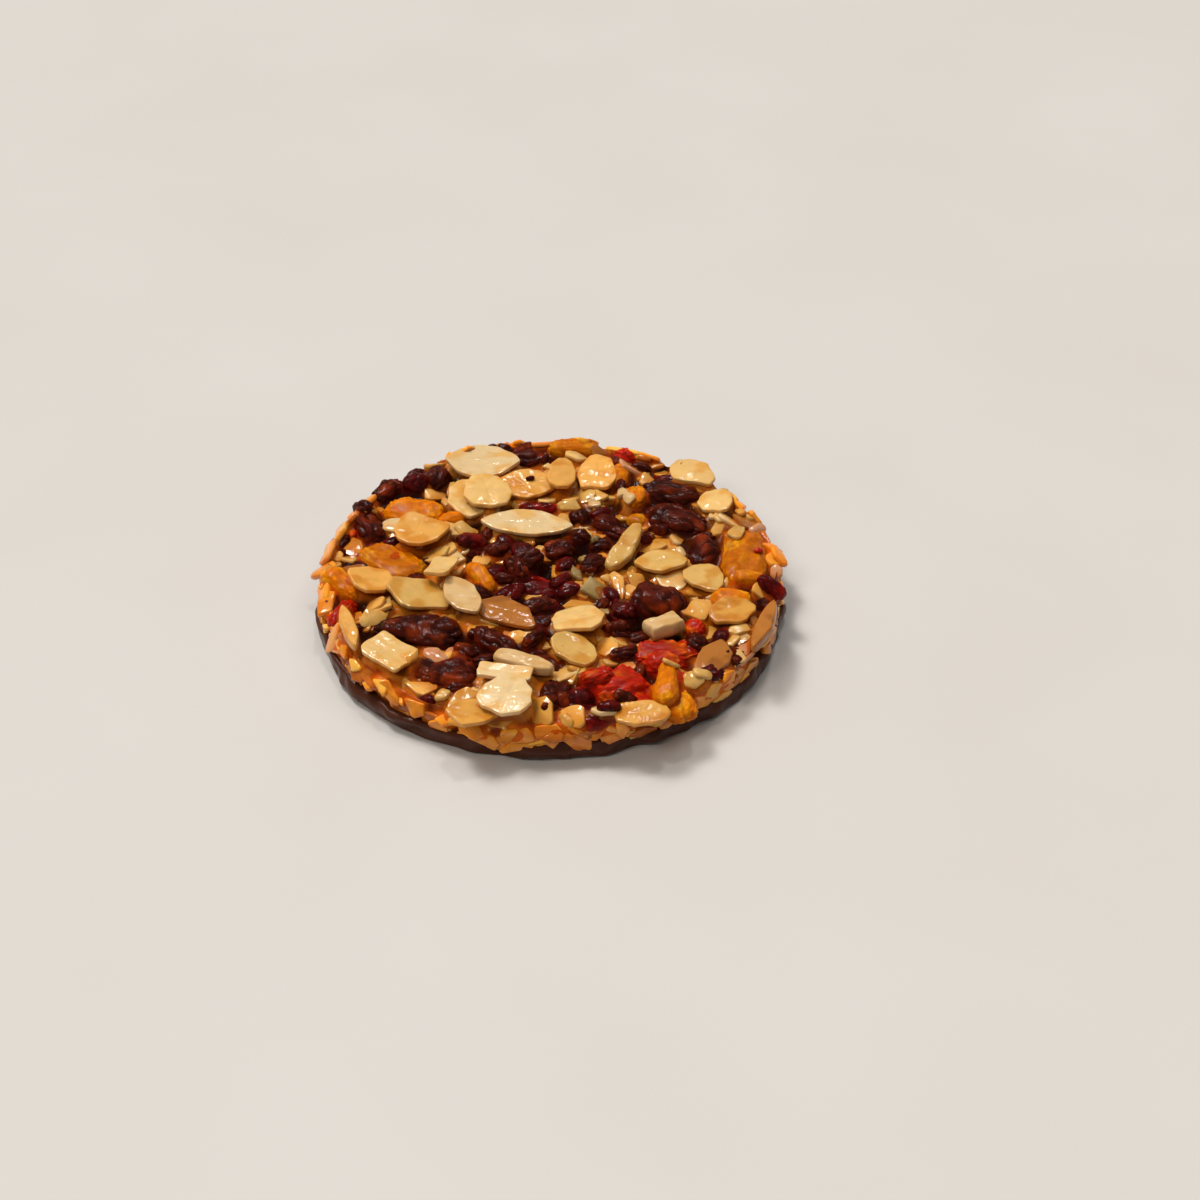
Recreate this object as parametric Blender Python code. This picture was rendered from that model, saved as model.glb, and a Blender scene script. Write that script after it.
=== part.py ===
"""Florentine cookie: a round of almond flakes and dried fruit, set in caramel on a dark chocolate base.

The chocolate is a disc with an uneven edge. The layer of nuts and caramel lies on it along a seam that
rises and falls. The larger toppings are laid one after another, as a baker scatters them: fruit sinks
deep into the caramel, and each slice of almond comes down, leaning a little, on what is already there,
or presses a little way into the caramel. A pocket is cut in the layer for each. Lengths are in
millimetres up to the point where a mesh is written, in metres.
"""

import math
from dataclasses import dataclass

import bmesh
import bpy
import numpy as np
from mathutils import Matrix, Vector

MM = 0.001
SHARP_EDGE = math.radians(40)

# Driving dimensions
DIAMETER = 92.0
SEAM_HEIGHT = 3.2
LAYER_TOP = 8.2
GAP = 0.3
POCKET_GAP = 0.36
REST_GAP = 0.38

# Chocolate base
BASE_RADIUS = DIAMETER / 2 - 0.7
BASE_FOOT_INSET = 1.1
BASE_FOOT_CORNER = 0.3 * BASE_FOOT_INSET
BASE_EDGE_ROUND = 0.6
BASE_TOP_INSET = 0.7 * BASE_EDGE_ROUND
BASE_LEVEL_SHARE = 0.8
# Waves round the edge: (depth, number in a full turn, phase)
BASE_EDGE_WAVES = ((0.3, 3, 2.6), (0.2, 8, 1.0))
SEAM_WAVE = 0.55
SEAM_WAVES = ((0.5, 3, 1.9), (0.3, 7, 0.6), (0.2, 13, 0.0))
SEAM_LEVEL_POWER = 4

# Caramel layer
LAYER_RADIUS = DIAMETER / 2 - 0.8
BULGE_SIDE = math.radians(215)
BULGE = 0.45
LAYER_SHOULDER = 1.5
LAYER_SHOULDER_DROP = 0.6 * LAYER_SHOULDER
LAYER_SHOULDER_INSET = 0.5 * LAYER_SHOULDER
LAYER_FOOT_SHARE = 0.75
# How far up the layer's side, from the seam to the shoulder, its widest line runs
WIDEST_SHARE = 0.55
# Hills over the layer: radians per millimetre along and across, their phases, and the second one's share
LONG_HILL = (0.31, 0.8, 0.27)
SHORT_HILL = (0.52, 0.33, 1.2)
SHORT_HILL_SHARE = 0.6
LAYER_RELIEF = 0.5
RIM_RISE = 0.6
RIM_RISE_POWER = 3
LAYER_UNDERCUT = 0.9
EDGE_LUMP = 0.55
EDGE_LUMP_WAVES = ((0.45, 9, 0.4), (0.35, 16, 2.1), (0.30, 25, 4.0))
TOP_RINGS = (0.94, 0.82, 0.68, 0.52, 0.34, 0.16)
SECTORS = 54

# Toppings
FLAKE_THICKNESS = 1.1
STICK_THICKNESS = 1.9
BLOCK_THICKNESS = 2.8
FLAKE_CORNERS = 10
FLAKE_CHAMFER = 0.3
FLAKE_SINK = 0.7
FLAKE_TAPER = 0.2
FLAKE_JITTER = 0.035
FIRST_FLAKE_SEED = 100
FRUIT_DEPTH = 3.6
# How square a fruit's sides are: 1 is an ellipsoid, 0 a box
FRUIT_ROUNDNESS = 0.9
PEEL_ROUNDNESS = 0.62
FRUIT_LUMP = 0.06
FRUIT_LUMP_WAVE = 2.6
BERRY_SEGMENTS = 8
BERRY_RINGS = 5
LEANS = range(0, 17, 4)
POCKET_LIFT = 12.0
HEAP_CELL = 0.35
HEAP_MARGIN = 4.0
UPRIGHT_FACE = 1e-4
FAR = 1e9


@dataclass(frozen=True)
class Fruit:
    """A dried or candied fruit: kind, middle, length, width, turn from +X, and how far it stands proud."""

    kind: str
    x: float
    y: float
    length: float
    width: float
    turn: float
    rise: float

    @property
    def height(self):
        """What stands proud of the caramel, and what is sunk in it."""
        return self.rise + FRUIT_DEPTH


@dataclass(frozen=True)
class Flake:
    """A slice of almond: its kind, middle, length, width and turn from +X.

    Each break is (direction in degrees from +X, distance from the middle): what lies past it is gone.
    """

    kind: str
    x: float
    y: float
    length: float
    width: float
    turn: float
    breaks: tuple = ()


FRUITS = (
    Fruit("raisin", -24.4, -18.2, 14.5, 9.4, -6, 1.8),
    Fruit("raisin", -18.8, -29.2, 12.0, 7.4, -12, 0.9),
    Fruit("raisin", -10.6, -21.2, 12.0, 6.0, -42, 1.2),
    Fruit("raisin", 20.4, -8.8, 11.4, 9.6, -20, 1.7),
    Fruit("raisin", 23.6, 26.8, 11.6, 7.2, -14, 1.4),
    Fruit("raisin", 24.0, 17.8, 13.6, 7.0, -24, 1.2),
    Fruit("raisin", 29.6, 7.2, 8.8, 6.6, 80, 1.0),
    Fruit("raisin", -36.4, 15.4, 10.4, 6.8, 120, 1.3),
    Fruit("raisin", -33.6, 28.2, 8.4, 4.6, 54, 0.6),
    Fruit("raisin", -5.6, 39.0, 9.4, 6.2, -8, 0.8),
    Fruit("raisin", 11.8, 15.6, 8.6, 6.8, -30, 0.5),
    Fruit("raisin", 2.2, -34.8, 10.0, 5.4, -78, 0.5),
    Fruit("raisin", -0.4, -26.6, 9.2, 5.2, -42, 0.4),
    Fruit("cranberry", -27.8, 29.4, 6.2, 5.6, 70, 1.7),
    Fruit("cranberry", -5.2, 5.4, 9.6, 6.4, 104, 0.8),
    Fruit("cranberry", -2.4, -3.6, 7.6, 6.0, -20, 0.4),
    Fruit("cranberry", 7.4, -41.2, 7.6, 5.6, -10, 0.2),
    Fruit("cherry", -39.2, -12.0, 6.8, 4.6, 70, 0.9),
    Fruit("cherry", 13.0, -33.6, 11.0, 8.2, 22, 1.6),
    Fruit("cherry", 21.2, -27.8, 7.6, 6.2, -20, 1.3),
    Fruit("peel", -28.0, 20.4, 11.6, 7.0, -14, 0.9),
    Fruit("peel", -30.8, 4.0, 14.4, 9.2, -40, 0.5),
    Fruit("peel", -40.2, -3.4, 10.4, 5.2, -44, 1.0),
    Fruit("peel", 37.4, 4.4, 18.0, 8.4, 88, 1.3),
    Fruit("peel", 4.2, 42.0, 11.4, 4.8, -6, 1.3),
    Fruit("peel", 22.4, -37.6, 11.0, 6.2, -60, 1.0),
)

FLAKES = (
    Flake("flake", -17.2, 23.8, 12.6, 8.0, 96),
    Flake("flake", 32.6, 22.6, 9.0, 6.8, 60, ((250, 3.6),)),
    Flake("flake", 28.4, 32.2, 12.0, 7.6, -36, ((150, 5.0),)),
    Flake("flake", -13.0, -42.8, 11.0, 7.8, 24, ((90, 3.6),)),
    Flake("flake", 17.0, -42.4, 10.4, 7.0, -4, ((92, 2.8),)),
    Flake("stick", -37.4, -19.6, 13.4, 3.0, 106),
    Flake("stick", 40.0, -18.6, 17.0, 3.6, 72),
    Flake("stick", -4.4, -28.8, 13.2, 4.2, -24),
    Flake("flake", -5.4, 28.2, 11.6, 9.0, 14),
    Flake("flake", 9.0, 32.6, 12.6, 8.2, 84, ((0, 3.6), (262, 5.4))),
    Flake("flake", -26.0, 11.8, 12.4, 10.6, 20, ((138, 4.9), (52, 4.6), (198, 5.0))),
    Flake("flake", -34.2, -4.6, 10.4, 9.2, -70, ((84, 3.6), (202, 4.0), (-42, 3.8))),
    Flake("flake", -25.4, -8.4, 14.0, 10.2, -25, ((98, 4.2), (214, 4.6))),
    Flake("flake", -7.8, -13.2, 12.6, 9.4, -35, ((55, 3.2), (232, 3.8))),
    Flake("flake", 34.4, -13.2, 9.6, 8.0, 20, ((-78, 3.7), (140, 3.6))),
    Flake("flake", 29.6, -2.2, 10.0, 8.0, -60, ((250, 4.0), (330, 4.2))),
    Flake("flake", 31.0, -25.4, 13.0, 6.4, 66, ((20, 2.7),)),
    Flake("flake", -13.2, 24.2, 11.4, 10.0, 100),
    Flake("flake", 1.6, 30.6, 13.4, 6.0, 82),
    Flake("flake", -16.6, -10.0, 13.0, 6.4, -62),
    Flake("stick", 14.4, 7.0, 15.4, 4.4, 66),
    Flake("flake", 21.6, 2.4, 11.4, 7.6, -12, ((-62, 3.2),)),
    Flake("flake", 4.8, -25.0, 10.6, 7.4, -42),
    Flake("flake", -29.2, -25.8, 13.8, 9.2, -55, ((125, 5.0), (46, 3.4))),
    Flake("flake", -21.0, -1.6, 12.0, 9.2, 70, ((70, 4.3), (250, 4.4), (160, 2.7), (-20, 2.7))),
    Flake("flake", -14.6, 35.4, 16.8, 12.0, -6, ((186, 7.6), (274, 5.6))),
    Flake("flake", -5.0, 15.0, 18.6, 8.0, -7),
    Flake("flake", 5.4, -16.0, 12.4, 10.6, 76, ((262, 5.0),)),
    Flake("flake", -7.8, -32.6, 12.4, 6.0, -6, ((84, 2.2), (264, 2.0), (-6, 5.4))),
    Flake("flake", -7.4, -39.4, 11.4, 10.2, 80, ((92, 4.6),)),
    Flake("block", 21.4, -18.2, 9.6, 7.2, 33, ((33, 3.8), (213, 3.9), (123, 2.4), (-57, 2.4))),
)

THICKNESS = {"flake": FLAKE_THICKNESS, "stick": STICK_THICKNESS, "block": BLOCK_THICKNESS}
NODE_NAME = {
    "raisin": "raisin",
    "cranberry": "dried_cranberry",
    "cherry": "candied_cherry",
    "peel": "candied_peel",
    "flake": "almond_flake",
    "stick": "almond_stick",
    "block": "almond_block",
}
# kind: (colour, roughness)
FINISH = {
    "chocolate": ((0.045, 0.018, 0.012), 0.35),
    "caramel": ((0.46, 0.20, 0.045), 0.2),
    "raisin": ((0.055, 0.012, 0.008), 0.2),
    "cranberry": ((0.16, 0.006, 0.008), 0.15),
    "cherry": ((0.55, 0.02, 0.006), 0.12),
    "peel": ((0.72, 0.24, 0.015), 0.15),
    "flake": ((0.80, 0.56, 0.26), 0.3),
    "stick": ((0.82, 0.60, 0.31), 0.3),
    "block": ((0.84, 0.66, 0.40), 0.3),
}


def waves_round(angle, waves):
    """The sum of waves that run round the cookie, each given as (depth, number in a full turn, phase)."""
    return sum(depth * np.sin(number * angle + phase) for depth, number, phase in waves)


def towards_rim(x, y, power):
    """0 in the middle and 1 from the layer's rim outwards: the power sets how late it rises."""
    return np.clip(np.hypot(x, y) / LAYER_RADIUS, 0, 1) ** power


def seam_height(x, y):
    """Height of the seam between chocolate and caramel: level in the middle and wavy at the rim."""
    wave = waves_round(np.arctan2(y, x), SEAM_WAVES)
    return SEAM_HEIGHT + SEAM_WAVE * towards_rim(x, y, SEAM_LEVEL_POWER) * wave


def layer_edge(angle):
    """Radius of the caramel layer's widest line: a round edge with the lumps of the nuts in it."""
    return LAYER_RADIUS + EDGE_LUMP * waves_round(angle, EDGE_LUMP_WAVES)


def base_edge(angle):
    """Radius of the chocolate's edge: slow waves, and a bulge on the side where it ran out furthest."""
    return BASE_RADIUS + waves_round(angle, BASE_EDGE_WAVES) + BULGE * np.cos(angle - BULGE_SIDE)


def layer_surface(x, y):
    """Height of the layer between the toppings: slow hills and hollows, a little higher towards the rim."""
    along, phase, across = LONG_HILL
    long_hill = np.sin(along * x + phase) * np.cos(across * y)
    across, along, phase = SHORT_HILL
    short_hill = np.sin(across * y - along * x + phase)
    hills = (long_hill + SHORT_HILL_SHARE * short_hill) / (1 + SHORT_HILL_SHARE)
    return LAYER_TOP + LAYER_RELIEF * hills + RIM_RISE * towards_rim(x, y, RIM_RISE_POWER)


def material(kind):
    """The kind's Principled material, made once."""
    name = kind + "_finish"
    if name in bpy.data.materials:
        return bpy.data.materials[name]
    colour, roughness = FINISH[kind]
    made = bpy.data.materials.new(name)
    made.use_nodes = True
    shader = made.node_tree.nodes["Principled BSDF"]
    shader.inputs["Base Color"].default_value = (*colour, 1.0)
    shader.inputs["Roughness"].default_value = roughness
    shader.inputs["Metallic"].default_value = 0.0
    return made


def add_object(name, bm, kind):
    """Puts a mesh given in millimetres into the scene, in metres, shaded smooth but for its sharp edges."""
    bmesh.ops.scale(bm, vec=(MM, MM, MM), verts=bm.verts)
    bmesh.ops.recalc_face_normals(bm, faces=bm.faces)
    mesh = bpy.data.meshes.new(name)
    bm.to_mesh(mesh)
    bm.free()
    mesh.materials.append(material(kind))
    mesh.shade_smooth()
    mesh.set_sharp_from_angle(angle=SHARP_EDGE)
    obj = bpy.data.objects.new(name, mesh)
    bpy.context.scene.collection.objects.link(obj)
    return obj


def turned_solid(rings):
    """A closed bmesh of rings of SECTORS points, lowest first, with a point at each pole."""
    bm = bmesh.new()
    made = [[bm.verts.new(point) for point in ring] for ring in rings]
    for low, high in zip(made, made[1:]):
        for i in range(SECTORS):
            j = (i + 1) % SECTORS
            bm.faces.new((low[i], low[j], high[j], high[i]))
    for ring, pole_ring in ((made[0], rings[0]), (made[-1], rings[-1])):
        pole = bm.verts.new(pole_ring.mean(axis=0))
        for i in range(SECTORS):
            bm.faces.new((ring[i], ring[(i + 1) % SECTORS], pole))
    return bm


def ring_at(angle, radius, height):
    """One ring of points: radius and height may vary with the angle."""
    x, y = radius * np.cos(angle), radius * np.sin(angle)
    z = height(x, y) if callable(height) else np.full_like(x, height)
    return np.column_stack([x, y, z])


def make_chocolate_base():
    """A disc with a flat foot, a bulging side and a rounded upper edge that follows the seam."""
    angle = np.linspace(0, 2 * math.pi, SECTORS, endpoint=False)
    edge = base_edge(angle)

    def below_seam(x, y):
        return seam_height(x, y) - GAP / 2

    def shoulder(x, y):
        return below_seam(x, y) - BASE_EDGE_ROUND

    rings = [
        ring_at(angle, edge - BASE_FOOT_INSET, 0.0),
        ring_at(angle, edge - BASE_FOOT_CORNER, BASE_EDGE_ROUND),
        ring_at(angle, edge, shoulder),
        ring_at(angle, edge - BASE_TOP_INSET, below_seam),
        ring_at(angle, edge * BASE_LEVEL_SHARE, below_seam),
    ]
    add_object("chocolate_base", turned_solid(rings), "chocolate")


def make_caramel_layer():
    """A lumpy disc from the seam up, before the pockets for the toppings are cut."""
    angle = np.linspace(0, 2 * math.pi, SECTORS, endpoint=False)
    edge = layer_edge(angle)

    def above_seam(x, y):
        return seam_height(x, y) + GAP / 2

    def side(x, y):
        return (1 - WIDEST_SHARE) * above_seam(x, y) + WIDEST_SHARE * (LAYER_TOP - LAYER_SHOULDER)

    def shoulder(x, y):
        return layer_surface(x, y) - LAYER_SHOULDER_DROP

    rings = [
        ring_at(angle, edge * LAYER_FOOT_SHARE, above_seam),
        ring_at(angle, edge - LAYER_UNDERCUT, above_seam),
        ring_at(angle, edge, side),
        ring_at(angle, edge - LAYER_SHOULDER_INSET, shoulder),
    ]
    for share in TOP_RINGS:
        rings.append(ring_at(angle, edge * share, layer_surface))
    return add_object("caramel_nut_layer", turned_solid(rings), "caramel")


def hull_of(points):
    """The convex hull of some points, as a closed bmesh."""
    bm = bmesh.new()
    for point in points:
        bm.verts.new(point)
    hull = bmesh.ops.convex_hull(bm, input=bm.verts)
    spare = {item for key in ("geom_interior", "geom_unused") for item in hull[key]}
    inside = [item for item in spare if isinstance(item, bmesh.types.BMVert)]
    bmesh.ops.delete(bm, geom=inside, context="VERTS")
    bmesh.ops.recalc_face_normals(bm, faces=bm.faces)
    bm.normal_update()
    return bm


def flake_outline(flake, rng):
    """A slice's outline about its middle: a tapered oval, snapped along its breaks."""
    round_the_rim = np.linspace(0, 2 * math.pi, FLAKE_CORNERS, endpoint=False)
    taper = 0.0 if flake.kind == "block" else FLAKE_TAPER
    along = flake.length / 2 * np.cos(round_the_rim)
    across = flake.width / 2 * np.sin(round_the_rim) * (1 - taper * np.cos(round_the_rim))
    jitter = 1 + FLAKE_JITTER * rng.standard_normal(FLAKE_CORNERS)
    turn = math.radians(flake.turn)
    x = (along * math.cos(turn) - across * math.sin(turn)) * jitter
    y = (along * math.sin(turn) + across * math.cos(turn)) * jitter
    bm = bmesh.new()
    bm.faces.new([bm.verts.new((px, py, 0)) for px, py in zip(x, y)])
    for direction, reach in flake.breaks:
        way = Vector((math.cos(math.radians(direction)), math.sin(math.radians(direction)), 0))
        bmesh.ops.bisect_plane(
            bm,
            geom=[*bm.verts, *bm.edges, *bm.faces],
            plane_co=way * reach,
            plane_no=way,
            clear_outer=True,
        )
    outline = np.array([vert.co[:2] for vert in bm.verts])
    bm.free()
    return outline


def plain_slab(outline, half):
    """A square-edged plate a gap wider than an outline: the room that a slice takes."""
    wider = outline * (1 + POCKET_GAP / np.hypot(*outline.T))[:, None]
    return hull_of([(px, py, height) for height in (-half, half) for px, py in wider])


def slab(outline, half, inset):
    """A plate over an outline, half as thick as its full thickness, its flat faces inset from its rim."""
    inner = outline * (1 - inset / np.hypot(*outline.T))[:, None]
    rims = ((inner, -half), (outline, 0.0), (inner, half))
    return hull_of([(px, py, height) for rim, height in rims for px, py in rim])


def fruit_bmesh(fruit, rng):
    """A lumpy rounded body about its middle. Peel is cut square, so its sides are fuller than a raisin's."""
    ball = bmesh.new()
    bmesh.ops.create_uvsphere(ball, u_segments=BERRY_SEGMENTS, v_segments=BERRY_RINGS, radius=1.0)
    bmesh.ops.rotate(ball, verts=ball.verts, matrix=Matrix.Rotation(math.radians(90), 3, "Y"))
    ways = np.array([vert.co for vert in ball.verts])
    ball.free()
    roundness = PEEL_ROUNDNESS if fruit.kind == "peel" else FRUIT_ROUNDNESS
    size = np.array([fruit.length, fruit.width, fruit.height]) / 2
    phase = rng.uniform(0, 2 * math.pi, 3)
    lumps = 1 + FRUIT_LUMP * np.sin(FRUIT_LUMP_WAVE * ways + phase).sum(axis=1)
    shape = np.sign(ways) * np.abs(ways) ** roundness * size * lumps[:, None]
    turn = Matrix.Rotation(math.radians(fruit.turn), 3, "Z")
    return hull_of([turn @ Vector(point) for point in shape])


def planes_of(bm):
    """(normals, distances) of the planes of a convex bmesh's faces."""
    bm.normal_update()
    normals = np.array([face.normal for face in bm.faces])
    points = np.array([face.verts[0].co for face in bm.faces])
    return normals, (normals * points).sum(axis=1)


class Heap:
    """What lies on the caramel so far, as a height for each cell of a square grid seen from above."""

    def __init__(self):
        """An empty heap: no topping anywhere."""
        reach = DIAMETER / 2 + HEAP_MARGIN
        line = np.arange(-reach, reach, HEAP_CELL)
        self.x, self.y = np.meshgrid(line, line)
        self.top = np.full_like(self.x, -FAR)

    def under_and_over(self, bm, x, y):
        """(footprint, underside, upper side) of a convex body whose middle is at x, y and height 0."""
        normals, distances = planes_of(bm)
        px, py = self.x - x, self.y - y
        near = np.hypot(px, py) < max(vert.co.length for vert in bm.verts) + HEAP_CELL
        under, over = np.full_like(px, -FAR), np.full_like(px, FAR)
        for (nx, ny, nz), distance in zip(normals, distances):
            if abs(nz) < UPRIGHT_FACE:
                near &= nx * px + ny * py < distance + GAP
                continue
            plane = (distance - nx * px - ny * py) / nz
            if nz > 0:
                over = np.minimum(over, plane)
            else:
                under = np.maximum(under, plane)
        return near & (over > under - 2 * GAP), under, over

    def slope_under(self, footprint, floor):
        """The slope along x and y of the plane that best fits what a flake would lie on."""
        support = np.maximum(self.top, floor)[footprint]
        x, y = self.x[footprint], self.y[footprint]
        table = np.column_stack([np.ones_like(x), x, y])
        return np.linalg.lstsq(table, support, rcond=None)[0][1:]

    def resting_height(self, footprint, under, floor):
        """How high the middle comes to rest, a gap above the heap and no lower than the floor."""
        clear_of_heap = (self.top - under)[footprint].max() + REST_GAP
        clear_of_floor = (floor - under)[footprint].max()
        return max(clear_of_heap, clear_of_floor)

    def add(self, footprint, over, height):
        """Adds a body that has come to rest."""
        self.top[footprint] = np.maximum(self.top, over + height)[footprint]


def add_pocket(pockets, bm, clearance, middle):
    """Adds the room that one topping takes in the layer: its shape, a clearance larger, and open above."""
    bm.normal_update()
    room = [vert.co + vert.normal * clearance + middle for vert in bm.verts]
    mouth = [point + Vector((0, 0, POCKET_LIFT)) for point in room]
    cutter = add_object(f"pocket_{len(pockets.objects)}", hull_of(room + mouth), "caramel")
    bpy.context.scene.collection.objects.unlink(cutter)
    pockets.objects.link(cutter)
    cutter.hide_render = True
    cutter.display_type = "WIRE"


def number_names():
    """Hands out node names: a kind's first piece is _01."""
    counts = {}

    def name_for(kind):
        counts[kind] = counts.get(kind, 0) + 1
        return f"{NODE_NAME[kind]}_{counts[kind]:02d}"

    return name_for


def come_to_rest(heap, bm, flake, floor):
    """(turn, height of its middle) of the lean, down the slope under the flake, at which it lies lowest."""
    footprint, _, _ = heap.under_and_over(bm, flake.x, flake.y)
    slope_x, slope_y = heap.slope_under(footprint, floor)
    axis = Vector((slope_y, -slope_x, 0))
    tries = []
    for lean in LEANS:
        turn = Matrix.Rotation(math.radians(lean), 3, axis)
        leaning = bm.copy()
        bmesh.ops.rotate(leaning, verts=leaning.verts, matrix=turn)
        footprint, under, _ = heap.under_and_over(leaning, flake.x, flake.y)
        tries.append((heap.resting_height(footprint, under, floor), lean, turn))
        leaning.free()
    height, _, turn = min(tries, key=lambda tried: tried[:2])
    return turn, height


def lay_piece(heap, bm, piece, height, name):
    """Adds the piece to the heap and to the scene."""
    footprint, _, over = heap.under_and_over(bm, piece.x, piece.y)
    heap.add(footprint, over, height)
    bmesh.ops.translate(bm, verts=bm.verts, vec=(piece.x, piece.y, height))
    add_object(name, bm, piece.kind)


def lay_toppings(pockets):
    """Sinks the fruit into the layer and lays the flakes over it, each in the order of its list."""
    heap = Heap()
    name_for = number_names()
    for seed, fruit in enumerate(FRUITS):
        bm = fruit_bmesh(fruit, np.random.default_rng(seed))
        height = LAYER_TOP + fruit.rise - fruit.height / 2
        add_pocket(pockets, bm, POCKET_GAP, Vector((fruit.x, fruit.y, height)))
        lay_piece(heap, bm, fruit, height, name_for(fruit.kind))
    floor = layer_surface(heap.x, heap.y) - FLAKE_SINK
    for seed, flake in enumerate(FLAKES):
        outline = flake_outline(flake, np.random.default_rng(FIRST_FLAKE_SEED + seed))
        half = THICKNESS[flake.kind] / 2
        bm = slab(outline, half, FLAKE_CHAMFER)
        turn, height = come_to_rest(heap, bm, flake, floor)
        bmesh.ops.rotate(bm, verts=bm.verts, matrix=turn)
        room = plain_slab(outline, half + POCKET_GAP)
        bmesh.ops.rotate(room, verts=room.verts, matrix=turn)
        add_pocket(pockets, room, 0.0, Vector((flake.x, flake.y, height)))
        room.free()
        lay_piece(heap, bm, flake, height, name_for(flake.kind))


def centre_on_origin():
    """Moves every object so that the middle of the cookie's outline, seen from above, is the origin."""
    solids = [obj for obj in bpy.data.objects if not obj.hide_render]
    corners = np.array([vert.co[:2] for obj in solids for vert in obj.data.vertices])
    middle = (corners.min(axis=0) + corners.max(axis=0)) / 2
    for obj in bpy.data.objects:
        obj.location = (-middle[0], -middle[1], 0)


def main():
    """Builds the cookie, from the chocolate up."""
    for obj in list(bpy.data.objects):
        bpy.data.objects.remove(obj)
    make_chocolate_base()
    layer = make_caramel_layer()
    pockets = bpy.data.collections.new("topping_pockets")
    bpy.context.scene.collection.children.link(pockets)
    lay_toppings(pockets)
    cut = layer.modifiers.new("topping_pockets", "BOOLEAN")
    cut.operation = "DIFFERENCE"
    cut.operand_type = "COLLECTION"
    cut.collection = pockets
    centre_on_origin()


main()
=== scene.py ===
"""A florentine cookie, dressed: almonds and dried fruit baked in caramel, on a disc of dark chocolate.

The CAD solids say where each large topping lies and how big it is. This script gives each of them its real
surface, packs chips of almond and fruit between them, pours caramel over the heap so that it creeps up
against every piece, and lays the whole on rippled chocolate. Lengths are millimetres until a mesh is written.
"""

import logging
import math
from collections.abc import Iterable
from dataclasses import dataclass, field
from enum import Enum

import bpy
import numpy as np
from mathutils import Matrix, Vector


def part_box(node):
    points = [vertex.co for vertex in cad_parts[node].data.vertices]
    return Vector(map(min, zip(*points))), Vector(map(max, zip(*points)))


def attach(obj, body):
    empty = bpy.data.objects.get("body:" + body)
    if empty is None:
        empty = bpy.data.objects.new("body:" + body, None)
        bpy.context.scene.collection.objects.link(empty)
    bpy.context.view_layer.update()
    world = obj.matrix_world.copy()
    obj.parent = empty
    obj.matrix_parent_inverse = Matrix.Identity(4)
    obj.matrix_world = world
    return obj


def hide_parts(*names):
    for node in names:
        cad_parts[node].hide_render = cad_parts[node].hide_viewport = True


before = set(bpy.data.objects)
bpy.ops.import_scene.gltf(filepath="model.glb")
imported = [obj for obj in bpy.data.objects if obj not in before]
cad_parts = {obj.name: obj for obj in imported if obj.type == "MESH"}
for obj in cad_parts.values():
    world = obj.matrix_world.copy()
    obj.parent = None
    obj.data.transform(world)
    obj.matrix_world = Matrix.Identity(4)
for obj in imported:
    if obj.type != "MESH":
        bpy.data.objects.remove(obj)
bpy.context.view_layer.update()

Array = np.ndarray

MM = 0.001
FAR = 1e6
TINY = 1e-6
FAINT = 1e-4
GOLDEN_SHARE = 0.6180339
GOLDEN_ANGLE = 2.399963
# How far the heap's wall and its level stand inside the CAD layer, and the caramel's foot above the layer's
WALL_INSET = 0.5
CREST = 1.0
SEAM = 0.3
log = logging.getLogger("florentine")


# ---------------------------------------------------------------------------------------------------------
# Colour and number helpers


class Seed(Enum):
    """The seeds of the sources of chance, one for each job."""

    CHOCOLATE = 3
    DRIP = 5
    HILLS = 7
    POOLS = 11
    SMALL_PIECES = 31
    RIM = 57
    SLICES = 1000
    FRUIT = 2000

    def source(self, number: int = 0) -> np.random.Generator:
        """A source of chance for this job, or for one piece of it."""
        return np.random.default_rng(self.value + number)


def linear(hex_colour: str) -> Array:
    """Turns an sRGB hex colour into linear light.

    Args:
        hex_colour: Six hex digits after a hash.

    Returns:
        Red, green and blue, from 0 to 1.
    """
    srgb = np.array([int(hex_colour[i : i + 2], 16) for i in (1, 3, 5)]) / 255
    return np.where(srgb <= 0.04045, srgb / 12.92, ((srgb + 0.055) / 1.055) ** 2.4)


def mix(one: Array, other: Array, share: Array | float) -> Array:
    """Blends two colours or sets of colours.

    Args:
        one: The colour where the share is 0.
        other: The colour where the share is 1.
        share: How much of the other, for each point or for all.

    Returns:
        The blend, one colour for each share.
    """
    part = np.clip(np.asarray(share), 0, 1)[..., None]
    return one * (1 - part) + other * part


def smoothstep(low: float, high: float, value: Array) -> Array:
    """Rises from 0 at low to 1 at high along an S.

    Args:
        low: Where the rise starts.
        high: Where it ends, which may be below low for a fall.
        value: The numbers to look up.

    Returns:
        The heights of the S.
    """
    t = np.clip((value - low) / (high - low), 0, 1)
    return t * t * (3 - 2 * t)


def ripples(points: Array, wavelength: float, rng: np.random.Generator, count: int = 9) -> Array:
    """Smooth noise of about unit size: sine waves of one range of lengths, each its own way, added up.

    Args:
        points: Places in millimetres, the last axis x, y, z.
        wavelength: The middle of the range of lengths, in millimetres.
        rng: The source of directions and phases.
        count: How many waves.

    Returns:
        One number for each place.
    """
    shortest, longest = 0.7, 1.5
    ways = rng.normal(size=(count, points.shape[-1]))
    ways /= np.linalg.norm(ways, axis=1, keepdims=True)
    waves = ways * (2 * math.pi / (wavelength * rng.uniform(shortest, longest, count)))[:, None]
    phase = rng.uniform(0, 2 * math.pi, count)
    return np.sin(points @ waves.T + phase).sum(axis=-1) * math.sqrt(2 / count)


def around_the_clock(count: int) -> Array:
    """Equal steps once round, in radians, starting at 0."""
    return np.linspace(0, 2 * math.pi, count, endpoint=False)


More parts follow.
